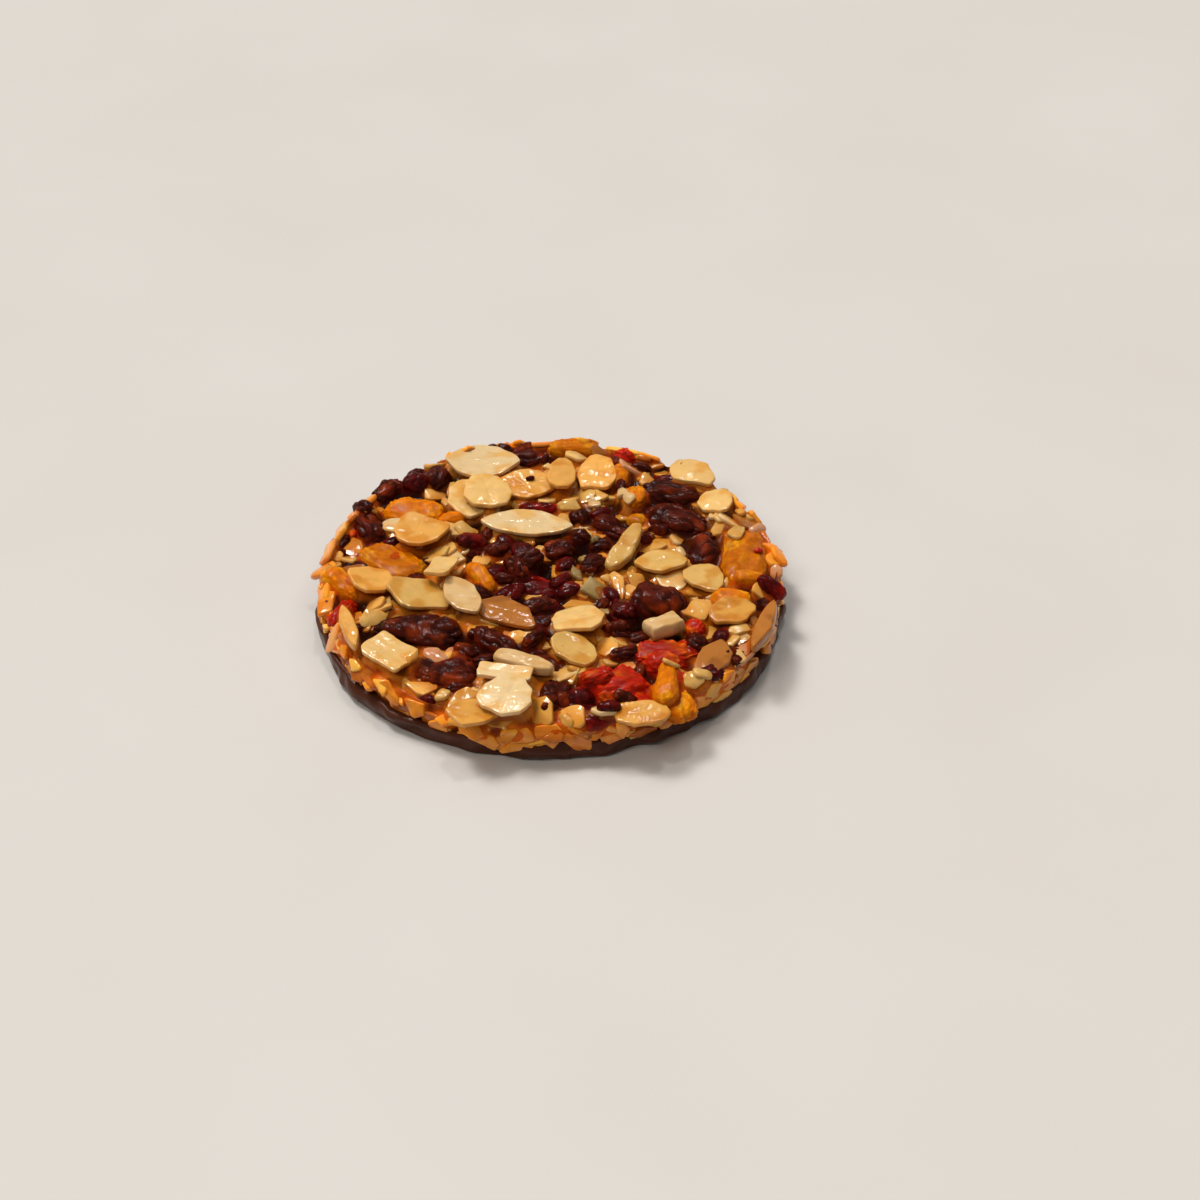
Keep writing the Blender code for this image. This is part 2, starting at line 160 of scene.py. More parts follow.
def bell_round(way: Array | float, middle: float, spread: float) -> Array | float:
    """A bell over the directions round the cookie, in degrees: 1 at its middle, 0 far from it."""
    off = (way - middle + 180) % 360 - 180
    return np.exp(-((off / spread) ** 2) / 2)


def round_points(out: Array, way: Array, *heights: Array) -> Array:
    """The points at some distances from the axis, in some directions, and at some heights if given."""
    return np.stack([out * np.cos(way), out * np.sin(way), *heights], axis=-1)


def refined(points: Array, spacing: float) -> Array:
    """Adds points straight between those of a grid that closes on itself along its second axis.

    Args:
        points: Rows by columns by values.
        spacing: The widest step that is left, in the units of the values.

    Returns:
        The finer grid.
    """
    closed = np.concatenate([points, points[:, :1]], axis=1)
    for axis in (0, 1):
        step = np.abs(np.diff(closed[..., :3], axis=axis)).sum(axis=-1).max()
        cuts = max(1, math.ceil(step / spacing))
        at = np.linspace(0, closed.shape[axis] - 1, (closed.shape[axis] - 1) * cuts + 1)
        low = np.minimum(at.astype(int), closed.shape[axis] - 2)
        share = (at - low).reshape((-1, 1, 1) if axis == 0 else (1, -1, 1))
        before, after = np.take(closed, low, axis=axis), np.take(closed, low + 1, axis=axis)
        closed = before * (1 - share) + after * share
    return closed


# ---------------------------------------------------------------------------------------------------------
# Places and meshes


@dataclass(frozen=True)
class Seat:
    """Where a piece lies: its middle, and the directions of its length, its width and its upper side."""

    middle: Array
    along: Array
    across: Array
    up: Array

    @classmethod
    def leaning(cls, middle: Array, turn: float, up: Array) -> "Seat":
        """A seat from a compass turn and an upward direction.

        Args:
            middle: The middle, in millimetres.
            turn: The turn of the length from +X, in degrees.
            up: The direction that the upper side faces.

        Returns:
            The seat, its three directions square to each other.
        """
        up = up / np.linalg.norm(up)
        heading = np.array([math.cos(math.radians(turn)), math.sin(math.radians(turn)), 0.0])
        along = heading - up * (heading @ up)
        along /= np.linalg.norm(along)
        return cls(middle, along, np.cross(up, along), up)

    def place(self, local: Array) -> Array:
        """Carries points from the piece's own directions to the cookie's."""
        return self.middle + local @ np.array([self.along, self.across, self.up])


def layer_middle() -> Array:
    """The point of the table under the middle of the nut layer, from which every piece is measured."""
    low, high = (np.array(corner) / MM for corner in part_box("caramel_nut_layer"))
    return (low + high) / 2 * [1, 1, 0]


MIDDLE = layer_middle()


def node_corners(name: str) -> Array:
    """The corners of a CAD node, each once.

    Args:
        name: The node's name.

    Returns:
        Their places, in millimetres from the middle of the nut layer.
    """
    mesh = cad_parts[name].data
    points = np.empty(len(mesh.vertices) * 3)
    mesh.vertices.foreach_get("co", points)
    return np.unique(np.round(points.reshape(-1, 3) / MM - MIDDLE, 3), axis=0)


def nodes_named(stem: str) -> list[str]:
    """The CAD nodes whose names start with a stem, in order."""
    return sorted(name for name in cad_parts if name.startswith(stem))


def slab_seat(corners: Array) -> Seat:
    """The seat of a flat solid: its thinnest direction is up.

    Args:
        corners: The solid's corners.

    Returns:
        Its seat, the middle halfway between its extremes.
    """
    _, _, axes = np.linalg.svd(corners - corners.mean(axis=0), full_matrices=False)
    along, up = axes[0], axes[2] * np.sign(axes[2][2])
    across = np.cross(up, along)
    local = corners @ np.array([along, across, up]).T
    middle = (local.min(axis=0) + local.max(axis=0)) / 2
    return Seat(middle @ np.array([along, across, up]), along, across, up)


def lump_seat(corners: Array) -> tuple[Seat, Array]:
    """The seat of a rounded solid that lies level, and half its length, width and height.

    Args:
        corners: The solid's corners.

    Returns:
        The seat, and the three half sizes.
    """
    flat = corners[:, :2] - corners[:, :2].mean(axis=0)
    _, _, axes = np.linalg.svd(flat, full_matrices=False)
    along = np.array([*axes[0], 0.0])
    up = np.array([0.0, 0.0, 1.0])
    across = np.cross(up, along)
    turned = np.array([along, across, up])
    local = corners @ turned.T
    low, high = local.min(axis=0), local.max(axis=0)
    return Seat((low + high) / 2 @ turned, along, across, up), (high - low) / 2


def nearest_line(way: Array, lines: Array, reach: Array, grazing: float = 0.1) -> Array:
    """How far it is from the middle to the nearest of some straight lines, in each direction.

    Args:
        way: The directions to look in, in radians.
        lines: The direction of each line's nearest point.
        reach: How far off that point is.
        grazing: The cosine below which a line is too far askew to count.

    Returns:
        One distance for each direction.
    """
    facing = np.cos(way[:, None] - lines)
    return np.where(facing > grazing, reach / np.maximum(facing, grazing), FAR).min(axis=1)


def outline_of(flat: Array, count: int) -> Array:
    """A convex outline as its distance from the middle in each direction.

    For each direction it takes the nearest of the straight lines that just touch the corners.

    Args:
        flat: Corners in the piece's own plane, measured from its middle.
        count: How many directions.

    Returns:
        One distance for each direction, starting along the length.
    """
    ways = around_the_clock(360)
    touching = (flat @ np.array([np.cos(ways), np.sin(ways)])).max(axis=0)
    return nearest_line(around_the_clock(count), ways, touching, grazing=0.05)


def softened(ring: Array, width: float) -> Array:
    """Blurs numbers given once round.

    Args:
        ring: The numbers.
        width: The blur's standard deviation, in steps of the ring.

    Returns:
        The blurred numbers.
    """
    turns = np.fft.rfftfreq(len(ring))
    return np.fft.irfft(np.fft.rfft(ring) * np.exp(-2 * (math.pi * turns * width) ** 2), len(ring))


@dataclass
class Gathering:
    """Closed surfaces gathered into one mesh.

    A surface is a grid of points, row by row from one pole to the other, each row once round. The first and
    last rows are the poles. With each point go the colour of what is there and whatever else is named.
    """

    name: str
    points: list[Array] = field(default_factory=list)
    tints: list[Array] = field(default_factory=list)
    corners: list[Array] = field(default_factory=list)
    sizes: list[Array] = field(default_factory=list)
    made: int = 0

    def add(self, surface: Array, tint: Array) -> None:
        """Adds a closed surface.

        Args:
            surface: Rows by around by x, y, z, in millimetres.
            tint: Its linear colours, of the same shape or one for all.
        """
        rows, around, _ = surface.shape
        tint = np.broadcast_to(tint, surface.shape)
        for values, kept in ((surface, self.points), (tint, self.tints)):
            poles = values[0].mean(axis=0, keepdims=True), values[-1].mean(axis=0, keepdims=True)
            kept.append(np.concatenate([poles[0], values[1:-1].reshape(-1, 3), poles[1]]))
        start = self.made + 1
        ring = np.arange(around)
        following = np.roll(ring, -1)
        low = start + around * np.arange(rows - 3)[:, None]
        high = low + around
        quads = np.stack([low + ring, low + following, high + following, high + ring], axis=-1)
        last = start + around * (rows - 3)
        end = last + around
        bottom = np.stack([np.full(around, self.made), start + following, start + ring], axis=-1)
        top = np.stack([last + ring, last + following, np.full(around, end)], axis=-1)
        self.corners += [bottom.ravel(), quads.ravel(), top.ravel()]
        self.sizes += [np.full(around, 3), np.full(quads.size // 4, 4), np.full(around, 3)]
        self.made = end + 1

    def write(self, finish: bpy.types.Material, slot: str, replaced: Iterable[str] = ()) -> bpy.types.Object:
        """Makes the mesh and its object, hangs it from the root body, and hides the CAD solids that it
        replaces.

        Args:
            finish: Its material, which reads the colour attribute tint.
            slot: Not used.
            replaced: The CAD nodes that the piece replaces.

        Returns:
            The object, at the origin.
        """
        mesh = bpy.data.meshes.new(self.name)
        points, tints = (np.concatenate(self.points) + MIDDLE) * MM, np.concatenate(self.tints)
        corners, sizes = np.concatenate(self.corners), np.concatenate(self.sizes)
        mesh.vertices.add(len(points))
        mesh.vertices.foreach_set("co", points.ravel())
        mesh.loops.add(len(corners))
        mesh.loops.foreach_set("vertex_index", corners)
        mesh.polygons.add(len(sizes))
        mesh.polygons.foreach_set("loop_start", np.concatenate([[0], np.cumsum(sizes)[:-1]]))
        mesh.update(calc_edges=True)
        mesh.shade_smooth()
        colours = mesh.color_attributes.new("tint", "FLOAT_COLOR", "POINT")
        colours.data.foreach_set("color", np.column_stack([tints, np.ones(len(tints))]).ravel())
        mesh.materials.append(finish)
        piece = bpy.data.objects.new(self.name, mesh)
        bpy.context.scene.collection.objects.link(piece)
        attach(piece, "root")
        replaced = list(replaced)
        if replaced:
            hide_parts(*replaced)
        log.info("%s: %d faces, replaces %d solids", self.name, len(sizes), len(replaced))
        return piece


class ReliefMap:
    """How far a heap reaches over a flat grid, and what colour it is there.

    Seen from above the reach is the height. Seen from the side, with the rim rolled out flat, it is the
    distance from the axis, and the grid closes on itself along its first side.
    """

    def __init__(self, low: tuple[float, float], high: tuple[float, float], cell: float, wraps: bool) -> None:
        """Makes an empty map.

        Args:
            low: Where the grid starts, along both its sides.
            high: Where it ends.
            cell: The cells' width.
            wraps: Whether the first side closes on itself.
        """
        self.low = np.array(low)
        self.wraps = wraps
        counts = np.rint((np.array(high) - low) / cell).astype(int)
        self.step = (np.array(high) - low) / counts
        self.shape = tuple(counts + [0 if wraps else 1, 1])
        self.reach = np.full(self.shape, -FAR)
        self.tint = np.zeros((*self.shape, 3))

    def grid(self) -> tuple[Array, Array]:
        """The two coordinates of every cell."""
        first = self.low[0] + self.step[0] * np.arange(self.shape[0])
        second = self.low[1] + self.step[1] * np.arange(self.shape[1])
        return np.meshgrid(first, second, indexing="ij")

    def cells(self, first: Array, second: Array) -> tuple[Array, Array]:
        """The nearest cells to some places.

        Args:
            first: Places along the first side.
            second: Places along the second side.

        Returns:
            The cells' two indices.
        """
        i = np.rint((first - self.low[0]) / self.step[0]).astype(int)
        j = np.rint((second - self.low[1]) / self.step[1]).astype(int)
        i = i % self.shape[0] if self.wraps else np.clip(i, 0, self.shape[0] - 1)
        return i, np.clip(j, 0, self.shape[1] - 1)

    def add(self, first: Array, second: Array, reach: Array, tint: Array) -> None:
        """Lays points on the heap: each cell keeps the one that reaches furthest.

        Args:
            first: Places along the first side.
            second: Places along the second side.
            reach: How far each point reaches.
            tint: Each point's colour.
        """
        skin = 0.03
        i, j = self.cells(first, second)
        np.maximum.at(self.reach, (i, j), reach)
        seen = reach > self.reach[i, j] - skin
        self.tint[i[seen], j[seen]] = tint[seen]

    def blurred(self, values: Array, weight: Array, width: float) -> Array:
        """A weighted average round each cell, with a bell-shaped weight.

        Args:
            values: One or more numbers for each cell.
            weight: How much each cell counts.
            width: The bell's standard deviation.

        Returns:
            The averages.
        """
        turns = np.fft.fftfreq(self.shape[0]) / self.step[0], np.fft.rfftfreq(self.shape[1]) / self.step[1]
        bell = np.exp(-2 * (math.pi * width) ** 2 * (turns[0][:, None] ** 2 + turns[1] ** 2))

        def spread(of: Array) -> Array:
            """Spreads each cell's number over its neighbours."""
            return np.fft.irfft2(np.fft.rfft2(of, axes=(0, 1)) * bell, s=self.shape, axes=(0, 1))

        total = np.maximum(spread(weight), TINY)
        if values.ndim == 2:
            return spread(values * weight) / total
        return np.stack([spread(layer * weight) / total for layer in np.moveaxis(values, 2, 0)], axis=2)

    def sampled(self, values: Array, first: Array, second: Array) -> Array:
        """Reads a map between its cells, straight from one to the next.

        Args:
            values: One or more numbers for each cell.
            first: Places along the first side.
            second: Places along the second side.

        Returns:
            The numbers there.
        """
        edge = 1.001
        a = (first - self.low[0]) / self.step[0]
        b = np.clip((second - self.low[1]) / self.step[1], 0, self.shape[1] - edge)
        if not self.wraps:
            a = np.clip(a, 0, self.shape[0] - edge)
        i, j = np.floor(a).astype(int), np.floor(b).astype(int)
        u, v = a - i, b - j
        i, following = i % self.shape[0], (i + 1) % self.shape[0]
        if values.ndim == 3:
            u, v = u[..., None], v[..., None]
        near = values[i, j] * (1 - v) + values[i, j + 1] * v
        far = values[following, j] * (1 - v) + values[following, j + 1] * v
        return near * (1 - u) + far * u


# ---------------------------------------------------------------------------------------------------------
# Finishes


def add_node(
    tree: bpy.types.NodeTree,
    kind: str,
    links: dict[str, object] | None = None,
    out: int | str = 0,
    **settings: object,
) -> bpy.types.NodeSocket | None:
    """Adds one shader node.

    Args:
        tree: The material's node tree.
        kind: Blender's name for the node's type, without ShaderNode.
        links: For each input socket, the output socket that feeds it or the value it holds.
        out: The name or number of the output socket that is wanted.
        settings: Values for the node's own settings.

    Returns:
        That output socket, or nothing where the node has none.
    """
    node = tree.nodes.new("ShaderNode" + kind)
    for setting, value in settings.items():
        setattr(node, setting, value)
    for socket, source in (links or {}).items():
        held = node.inputs[int(socket) if socket.isdigit() else socket]
        if isinstance(source, bpy.types.NodeSocket):
            tree.links.new(source, held)
        else:
            held.default_value = source
    return node.outputs[out] if node.outputs else None


def empty_material(name: str) -> tuple[bpy.types.Material, bpy.types.NodeTree, bpy.types.NodeSocket]:
    """A material with nothing in it yet but the place of each point.

    Args:
        name: The material's name.

    Returns:
        The material, its node tree, and the socket that gives the piece's own coordinates.
    """
    made = bpy.data.materials.new(name)
    made.use_nodes = True
    made.node_tree.nodes.clear()
    return made, made.node_tree, add_node(made.node_tree, "TexCoord", out="Object")


def rgba(colour: Array | str) -> tuple[float, float, float, float]:
    """A colour as the four numbers that a socket takes."""
    values = linear(colour) if isinstance(colour, str) else colour
    return (*(float(value) for value in values), 1.0)


def spaced(place: bpy.types.NodeSocket, size_mm: float) -> dict[str, object]:
    """The links that set a texture's blobs about one size apart."""
    return {"Vector": place, "Scale": 1 / (size_mm * MM)}


# Most of a noise node's values lie between these two
NOISE_RANGE = {"From Min": 0.3, "From Max": 0.7}


@dataclass(frozen=True)
class GlazedFinish:
    """Food under a film of clear set caramel: the colour comes from the piece, the shine from the film.

    The eye gets the colour of the almond or fruit, mottled a little, with light soaking in under the skin,
    and over it the hard small highlights of the film, broken by shallow ripples and by tiny bubbles.
    """

    name: str
    roughness: tuple[float, float] = (0.25, 0.45)
    soak: float = 0.15
    soak_colour: str = "#E0A060"
    soak_mm: float = 1.0
    film: float = 1.0
    film_roughness: float = 0.08
    film_tint: str = "#FFFAF2"
    mottle_mm: float = 1.2
    mottle: float = 0.25
    grain_mm: float = 0.35
    grain_depth_mm: float = 0.03
    ripple_mm: float = 1.3
    ripple_depth_mm: float = 0.05
    bubble_mm: float = 0.7
    bubble_depth_mm: float = 0.02
    bubble_share: float = 0.28
    speck_mm: float = 2.0
    speck_radius_mm: float = 0.0
    speck: float = 0.85
    speck_colour: str = "#5A2408"

    def make(self) -> bpy.types.Material:
        """Builds the material's nodes.

        Returns:
            The material.
        """
        made, tree, place = empty_material(self.name)
        tint = add_node(tree, "Attribute", out="Color", attribute_name="tint")
        mottle, grain, ripple = (
            add_node(tree, "TexNoise", {**spaced(place, size), "Detail": detail, "Roughness": 0.6})
            for size, detail in ((self.mottle_mm, 3.0), (self.grain_mm, 4.0), (self.ripple_mm, 2.0))
        )
        speckled, bubbled = (
            add_node(tree, "TexVoronoi", spaced(place, size), feature=feature)
            for size, feature in ((self.speck_mm, "F1"), (self.bubble_mm, "SMOOTH_F1"))
        )
        even = {**NOISE_RANGE, "To Min": 1 - self.mottle, "To Max": 1 + self.mottle}
        shade = add_node(tree, "MapRange", {"Value": mottle, **even})
        colour = add_node(tree, "VectorMath", {"0": tint, "Scale": shade}, operation="SCALE")
        near = self.speck_radius_mm / self.speck_mm
        fading = {"From Min": 0.6 * near, "From Max": near, "To Min": self.speck, "To Max": 0.0}
        speck = add_node(tree, "MapRange", {"Value": speckled, **fading})
        specked = {"Factor": speck, "6": colour, "7": rgba(self.speck_colour)}
        colour = add_node(tree, "Mix", specked, out=2, data_type="RGBA")
        satin = {**NOISE_RANGE, "To Min": self.roughness[0], "To Max": self.roughness[1]}
        rough = add_node(tree, "MapRange", {"Value": grain, **satin})
        domed = {"From Min": 0.0, "From Max": self.bubble_share, "To Min": 1.0, "To Max": 0.0}
        dome = add_node(tree, "MapRange", {"Value": bubbled, **domed})
        under, film = (
            add_node(tree, "Bump", {"Strength": 1.0, "Distance": depth * MM, "Height": height})
            for depth, height in ((self.grain_depth_mm, grain), (self.ripple_depth_mm, ripple))
        )
        blisters = {"Strength": 1.0, "Distance": self.bubble_depth_mm * MM, "Height": dome, "Normal": film}
        film = add_node(tree, "Bump", blisters)
        shader = add_node(
            tree,
            "BsdfPrincipled",
            {
                "Base Color": colour,
                "Roughness": rough,
                "Normal": under,
                "IOR": 1.45,
                "Specular IOR Level": 0.05,
                "Subsurface Weight": self.soak,
                "Subsurface Radius": tuple(float(value) for value in linear(self.soak_colour)),
                "Subsurface Scale": self.soak_mm * MM,
                "Coat Weight": self.film,
                "Coat Roughness": self.film_roughness,
                "Coat IOR": 1.5,
                "Coat Tint": rgba(self.film_tint),
                "Coat Normal": film,
            },
        )
        add_node(tree, "OutputMaterial", {"Surface": shader})
        return made


@dataclass(frozen=True)
class ChocolateFinish:
    """Tempered dark chocolate, dipped and set: a satin skin, nearly even, with soft streaks where it ran."""

    name: str = "dark_chocolate"
    dark: str = "#35170A"
    light: str = "#572C1A"
    roughness: tuple[float, float] = (0.24, 0.36)
    streak_mm: float = 5.0
    skin_mm: float = 0.6
    skin_depth_mm: float = 0.04

    def make(self) -> bpy.types.Material:
        """Builds the material's nodes.

        Returns:
            The material.
        """
        made, tree, place = empty_material(self.name)
        streak, skin = (
            add_node(tree, "TexNoise", {**spaced(place, size), "Detail": detail})
            for size, detail in ((self.streak_mm, 4.0), (self.skin_mm, 3.0))
        )
        streaked = {"Factor": streak, "6": rgba(self.dark), "7": rgba(self.light)}
        satin = {**NOISE_RANGE, "To Min": self.roughness[0], "To Max": self.roughness[1]}
        pimples = {"Strength": 1.0, "Distance": self.skin_depth_mm * MM, "Height": skin}
        shader = add_node(
            tree,
            "BsdfPrincipled",
            {
                "Base Color": add_node(tree, "Mix", streaked, out=2, data_type="RGBA"),
                "Roughness": add_node(tree, "MapRange", {"Value": streak, **satin}),
                "Normal": add_node(tree, "Bump", pimples),
                "IOR": 1.46,
                "Specular IOR Level": 0.25,
            },
        )
        add_node(tree, "OutputMaterial", {"Surface": shader})
        return made


@dataclass(frozen=True)
class TableFinish:
    """Matt off-white board: pale and even, with a shade of warmth that comes and goes."""

    name: str = "off_white_board"
    pale: str = "#C6C1BB"
    warm: str = "#C1BAB3"
    cloud_mm: float = 60.0

    def make(self) -> bpy.types.Material:
        """Builds the material's nodes.

        Returns:
            The material.
        """
        made, tree, place = empty_material(self.name)
        cloud = add_node(tree, "TexNoise", {**spaced(place, self.cloud_mm), "Detail": 2.0})
        clouded = {"Factor": cloud, "6": rgba(self.pale), "7": rgba(self.warm)}
        colour = add_node(tree, "Mix", clouded, out=2, data_type="RGBA")
        shader = add_node(tree, "BsdfPrincipled", {"Base Color": colour, "Roughness": 0.6})
        add_node(tree, "OutputMaterial", {"Surface": shader})
        return made


# ---------------------------------------------------------------------------------------------------------
# The heap that the toppings make


class Role(Enum):
    """How small pieces take what is already in the heap: they go under it, lie on it, or stay off it."""

    LID = 0
    FLOOR = 1
    ISLAND = 2


@dataclass
class Heap:
    """The toppings as they lie: what is on top, how low the slices reach, and where the caramel stands.

    The bed under the toppings is level in the middle and a little higher towards the rim, as in the CAD
    layer, with slow hills. Small pieces come to rest on whatever lies there and slip under the slices.
    Directions are in degrees. The bearing is the percentile of what lies under a piece that carries it.
    """

    radius: float
    crown: float
    cell: float = 0.25
    margin: float = 4.0
    hill_height: float = 0.35
    hill_width: float = 9.0
    rim_rise: float = 0.4
    fall: float = 0.8
    droop: float = 1.8
    droop_way: float = 250.0
    droop_spread: float = 36.0
    droop_from: float = 0.86
    bed_depth: float = 1.7
    wall_depth: float = 1.6
    wall_height: float = 14.0
    wall_cell: float = 0.3
    wall_reach: float = 6.0
    island_depth: float = 0.4
    island_share: float = 0.3
    overhang: float = 0.1
    steepest: float = 0.5
    bearing: float = 70.0
    overlap: float = 0.15

    def __post_init__(self) -> None:
        """Makes the two maps, empty but for the bed."""
        reach = self.radius + self.margin
        self.above = ReliefMap((-reach, -reach), (reach, reach), self.cell, wraps=False)
        self.x, self.y = self.above.grid()
        self.above.reach[:] = self.level(self.x, self.y) - self.bed_depth
        self.support = self.above.reach.copy()
        self.lid = np.full(self.above.shape, FAR)
        self.taken = np.zeros(self.above.shape, bool)
        self.islands = np.full(self.above.shape, -FAR)
        girth = 2 * math.pi * self.radius
        self.beside = ReliefMap((0.0, 0.0), (girth, self.wall_height), self.wall_cell, wraps=True)
        self.beside.reach[:] = self.radius - self.wall_depth

    def level(self, x: Array, y: Array) -> Array:
        """How high the mix of small pieces stands between the large toppings.

        Args:
            x: The places.
            y: The places.

        Returns:
            Its height at each.
        """
        hills = ripples(np.stack([x, y], axis=-1), self.hill_width, Seed.HILLS.source(), count=6)
        out = np.hypot(x, y) / self.radius
        rise = self.rim_rise * np.clip(out, 0, 1) ** 3
        drooped = self.drooping(x, y) * smoothstep(self.droop_from, 1.0, out)
        return self.crown + self.hill_height * hills / 2 + rise - drooped

    def drooping(self, x: Array, y: Array) -> Array:
        """How far the rim droops in the direction of a place: the front, where the caramel ran."""
        front = bell_round(np.degrees(np.arctan2(y, x)), self.droop_way, self.droop_spread)
        return self.fall + self.droop * front

    def add(self, surface: Array, tint: Array, role: Role) -> None:
        """Lays a finished surface on the heap.

        Args:
            surface: Rows by around by x, y, z.
            tint: Its colours.
            role: How small pieces take it.
        """
        both = np.concatenate([surface, np.broadcast_to(tint, surface.shape)], axis=-1)
        fine = refined(both, self.cell).reshape(-1, 6)
        x, y, z = fine[:, 0], fine[:, 1], fine[:, 2]
        self.above.add(x, y, z, fine[:, 3:])
        cells = self.above.cells(x, y)
        if role is Role.LID:
            np.minimum.at(self.lid, cells, z)
        elif role is Role.FLOOR:
            np.maximum.at(self.support, cells, z)
        else:
            np.maximum.at(self.islands, cells, z)
            proud = z > self.level(x, y) - self.island_depth
            self.taken[cells[0][proud], cells[1][proud]] = True
        out = np.hypot(x, y)
        outer = out > self.radius - self.wall_reach
        turn = np.arctan2(y[outer], x[outer]) % (2 * math.pi)
        self.beside.add(turn * self.radius, z[outer], out[outer], fine[outer, 3:])

    def lay(self, gathered: Gathering, surface: Array, tint: Array, role: Role) -> None:
        """Gathers a finished surface, and lays it on the heap."""
        gathered.add(surface, tint)
        self.add(surface, tint, role)

    def window(self, x: float, y: float, reach: float) -> tuple[slice, slice]:
        """The square of cells within a reach of a place."""
        i, j = self.above.cells(np.array([x - reach, x + reach]), np.array([y - reach, y + reach]))
        return slice(i[0], i[1] + 1), slice(j[0], j[1] + 1)

    def kept_inside(self, x: float, y: float, ring: Array, turn: float) -> tuple[float, float]:
        """Moves a place inwards until an outline set down there stays within the rim.

        Args:
            x: The place.
            y: The place.
            ring: The outline, as distances from its middle.
            turn: The turn of its length from +X, in degrees.

        Returns:
            The place to use.
        """
        out, way = math.hypot(x, y), math.atan2(y, x)
        reach = (ring * np.cos(around_the_clock(len(ring)) + math.radians(turn) - way)).max()
        share = min(1.0, (self.radius + self.overhang - reach) / max(out, TINY))
        return x * share, y * share

    def rest(
        self,
        x: float,
        y: float,
        ring: Array,
        turn: float,
        half: float,
        tilt: Array,
        sink: float,
        on_top: bool = False,
    ) -> Seat:
        """The seat of a small flat piece that is let go over a place.

        It lies along the plane that best fits what is under its outline, no steeper than nuts lie, and a
        little askew. Where a slice reaches over it, it slides down until it is clear.

        Args:
            x: The place.
            y: The place.
            ring: Its outline, as distances from its middle.
            turn: The turn of its length from +X, in degrees.
            half: Half its thickness.
            tilt: How much it lies askew, as slopes along x and y.
            sink: How far it presses into what carries it.
            on_top: Whether it lies on the slices rather than slip under them.

        Returns:
            The seat.
        """
        x, y = self.kept_inside(x, y, ring, turn)
        part = self.window(x, y, ring.max())
        px, py = self.x[part] - x, self.y[part] - y
        step = (np.arctan2(py, px) - math.radians(turn)) / (2 * math.pi) * len(ring)
        inside = np.hypot(px, py) < 0.9 * ring[np.rint(step).astype(int) % len(ring)] + 0.3 * self.cell
        i, j = self.above.cells(np.array(x), np.array(y))
        on_top = on_top or bool(self.taken[i, j])
        carrier = self.above.reach if on_top else self.support
        held = carrier[part][inside]
        px, py = px[inside], py[inside]
        table = np.column_stack([np.ones_like(px), px, py])
        fit = np.linalg.lstsq(table, held, rcond=None)[0]
        slope = np.clip(fit[1:], -self.steepest, self.steepest) + tilt
        plane = px * slope[0] + py * slope[1]
        height = np.percentile(held - plane, self.bearing) + half - sink
        room = FAR if on_top else (self.lid[part][inside] - plane).min() - half + self.overlap
        up = np.array([-slope[0], -slope[1], 1.0])
        return Seat.leaning(np.array([x, y, min(height, room)]), turn, up)

    def on_island(self, x: float, y: float, reach: float = 0.0) -> bool:
        """Whether large fruit stands at a place, or on much of the square within a reach of it."""
        part = self.window(x, y, reach)
        return float(self.taken[part].mean()) > self.island_share

    def lowest(self, x: float, y: float, reach: float) -> float:
        """How far the heap stands below its level round a place, as a middling height."""
        part = self.window(x, y, reach)
        return float(np.median(self.above.reach[part] - self.level(self.x[part], self.y[part])))


# ---------------------------------------------------------------------------------------------------------
# Almonds


class Almond(Enum):
    """How an almond piece was cut and baked: its face, its patches and its cut rim, as sRGB colours."""

    CREAM = ("#D4B88A", "#D1A25B", "#C08D47")
    LIGHT = ("#D6AE6C", "#CE9540", "#B97F32")
    TAN = ("#CAA15B", "#BD832E", "#A46D27")
    HONEY = ("#D69D4C", "#C67F23", "#AD6718")
    AMBER = ("#C89140", "#B36E15", "#90560E")
    PALE = ("#C8A675", "#BD945A", "#9F763B")
    ROSY = ("#CE9973", "#BD7B4F", "#945430")
    BAKED = ("#A56624", "#894F15", "#67370B")
    GREY = ("#A08B61", "#866F40", "#644F29")


class Form(Enum):
    """The outlines that slices have once broken: an oval, a pointed leaf, a splinter, a squared piece."""

    OVAL = 0
    LEAF = 1
    SHARD = 2
    SQUARE = 3


@dataclass(frozen=True)
class Cut:
    """How thick almond pieces are cut, and how their edges, lumps and bend are."""

    thickness: float
    rim: float
    around: int
    rows: int
    lump: float = 0.07
    lump_width: float = 3.2
    small_width: float = 1.5
    bend: float = 0.15
    seam: float = 0.0
    seam_slant: float = 0.08
    seam_width: float = 0.35


SLICE = Cut(thickness=0.85, rim=0.14, around=96, rows=9, lump=0.03, bend=0.45, seam=0.05)
STICK = Cut(thickness=2.0, rim=0.7, around=96, rows=7, lump=0.04, bend=0.1)
BLOCK = Cut(thickness=2.9, rim=0.55, around=96, rows=9, lump=0.05, bend=0.0)
CHIP = Cut(thickness=0.8, rim=0.15, around=20, rows=1, lump=0.03)
SLIVER = Cut(thickness=1.1, rim=0.35, around=20, rows=1, lump=0.03)

# How far in the rows of points stand that round a rim, as shares of its rounding
FINE_RIM = (0.0, 0.1, 0.3, 0.6, 1.0)
COARSE_RIM = (0.0, 0.35, 1.0)
FINE_COUNT = 30


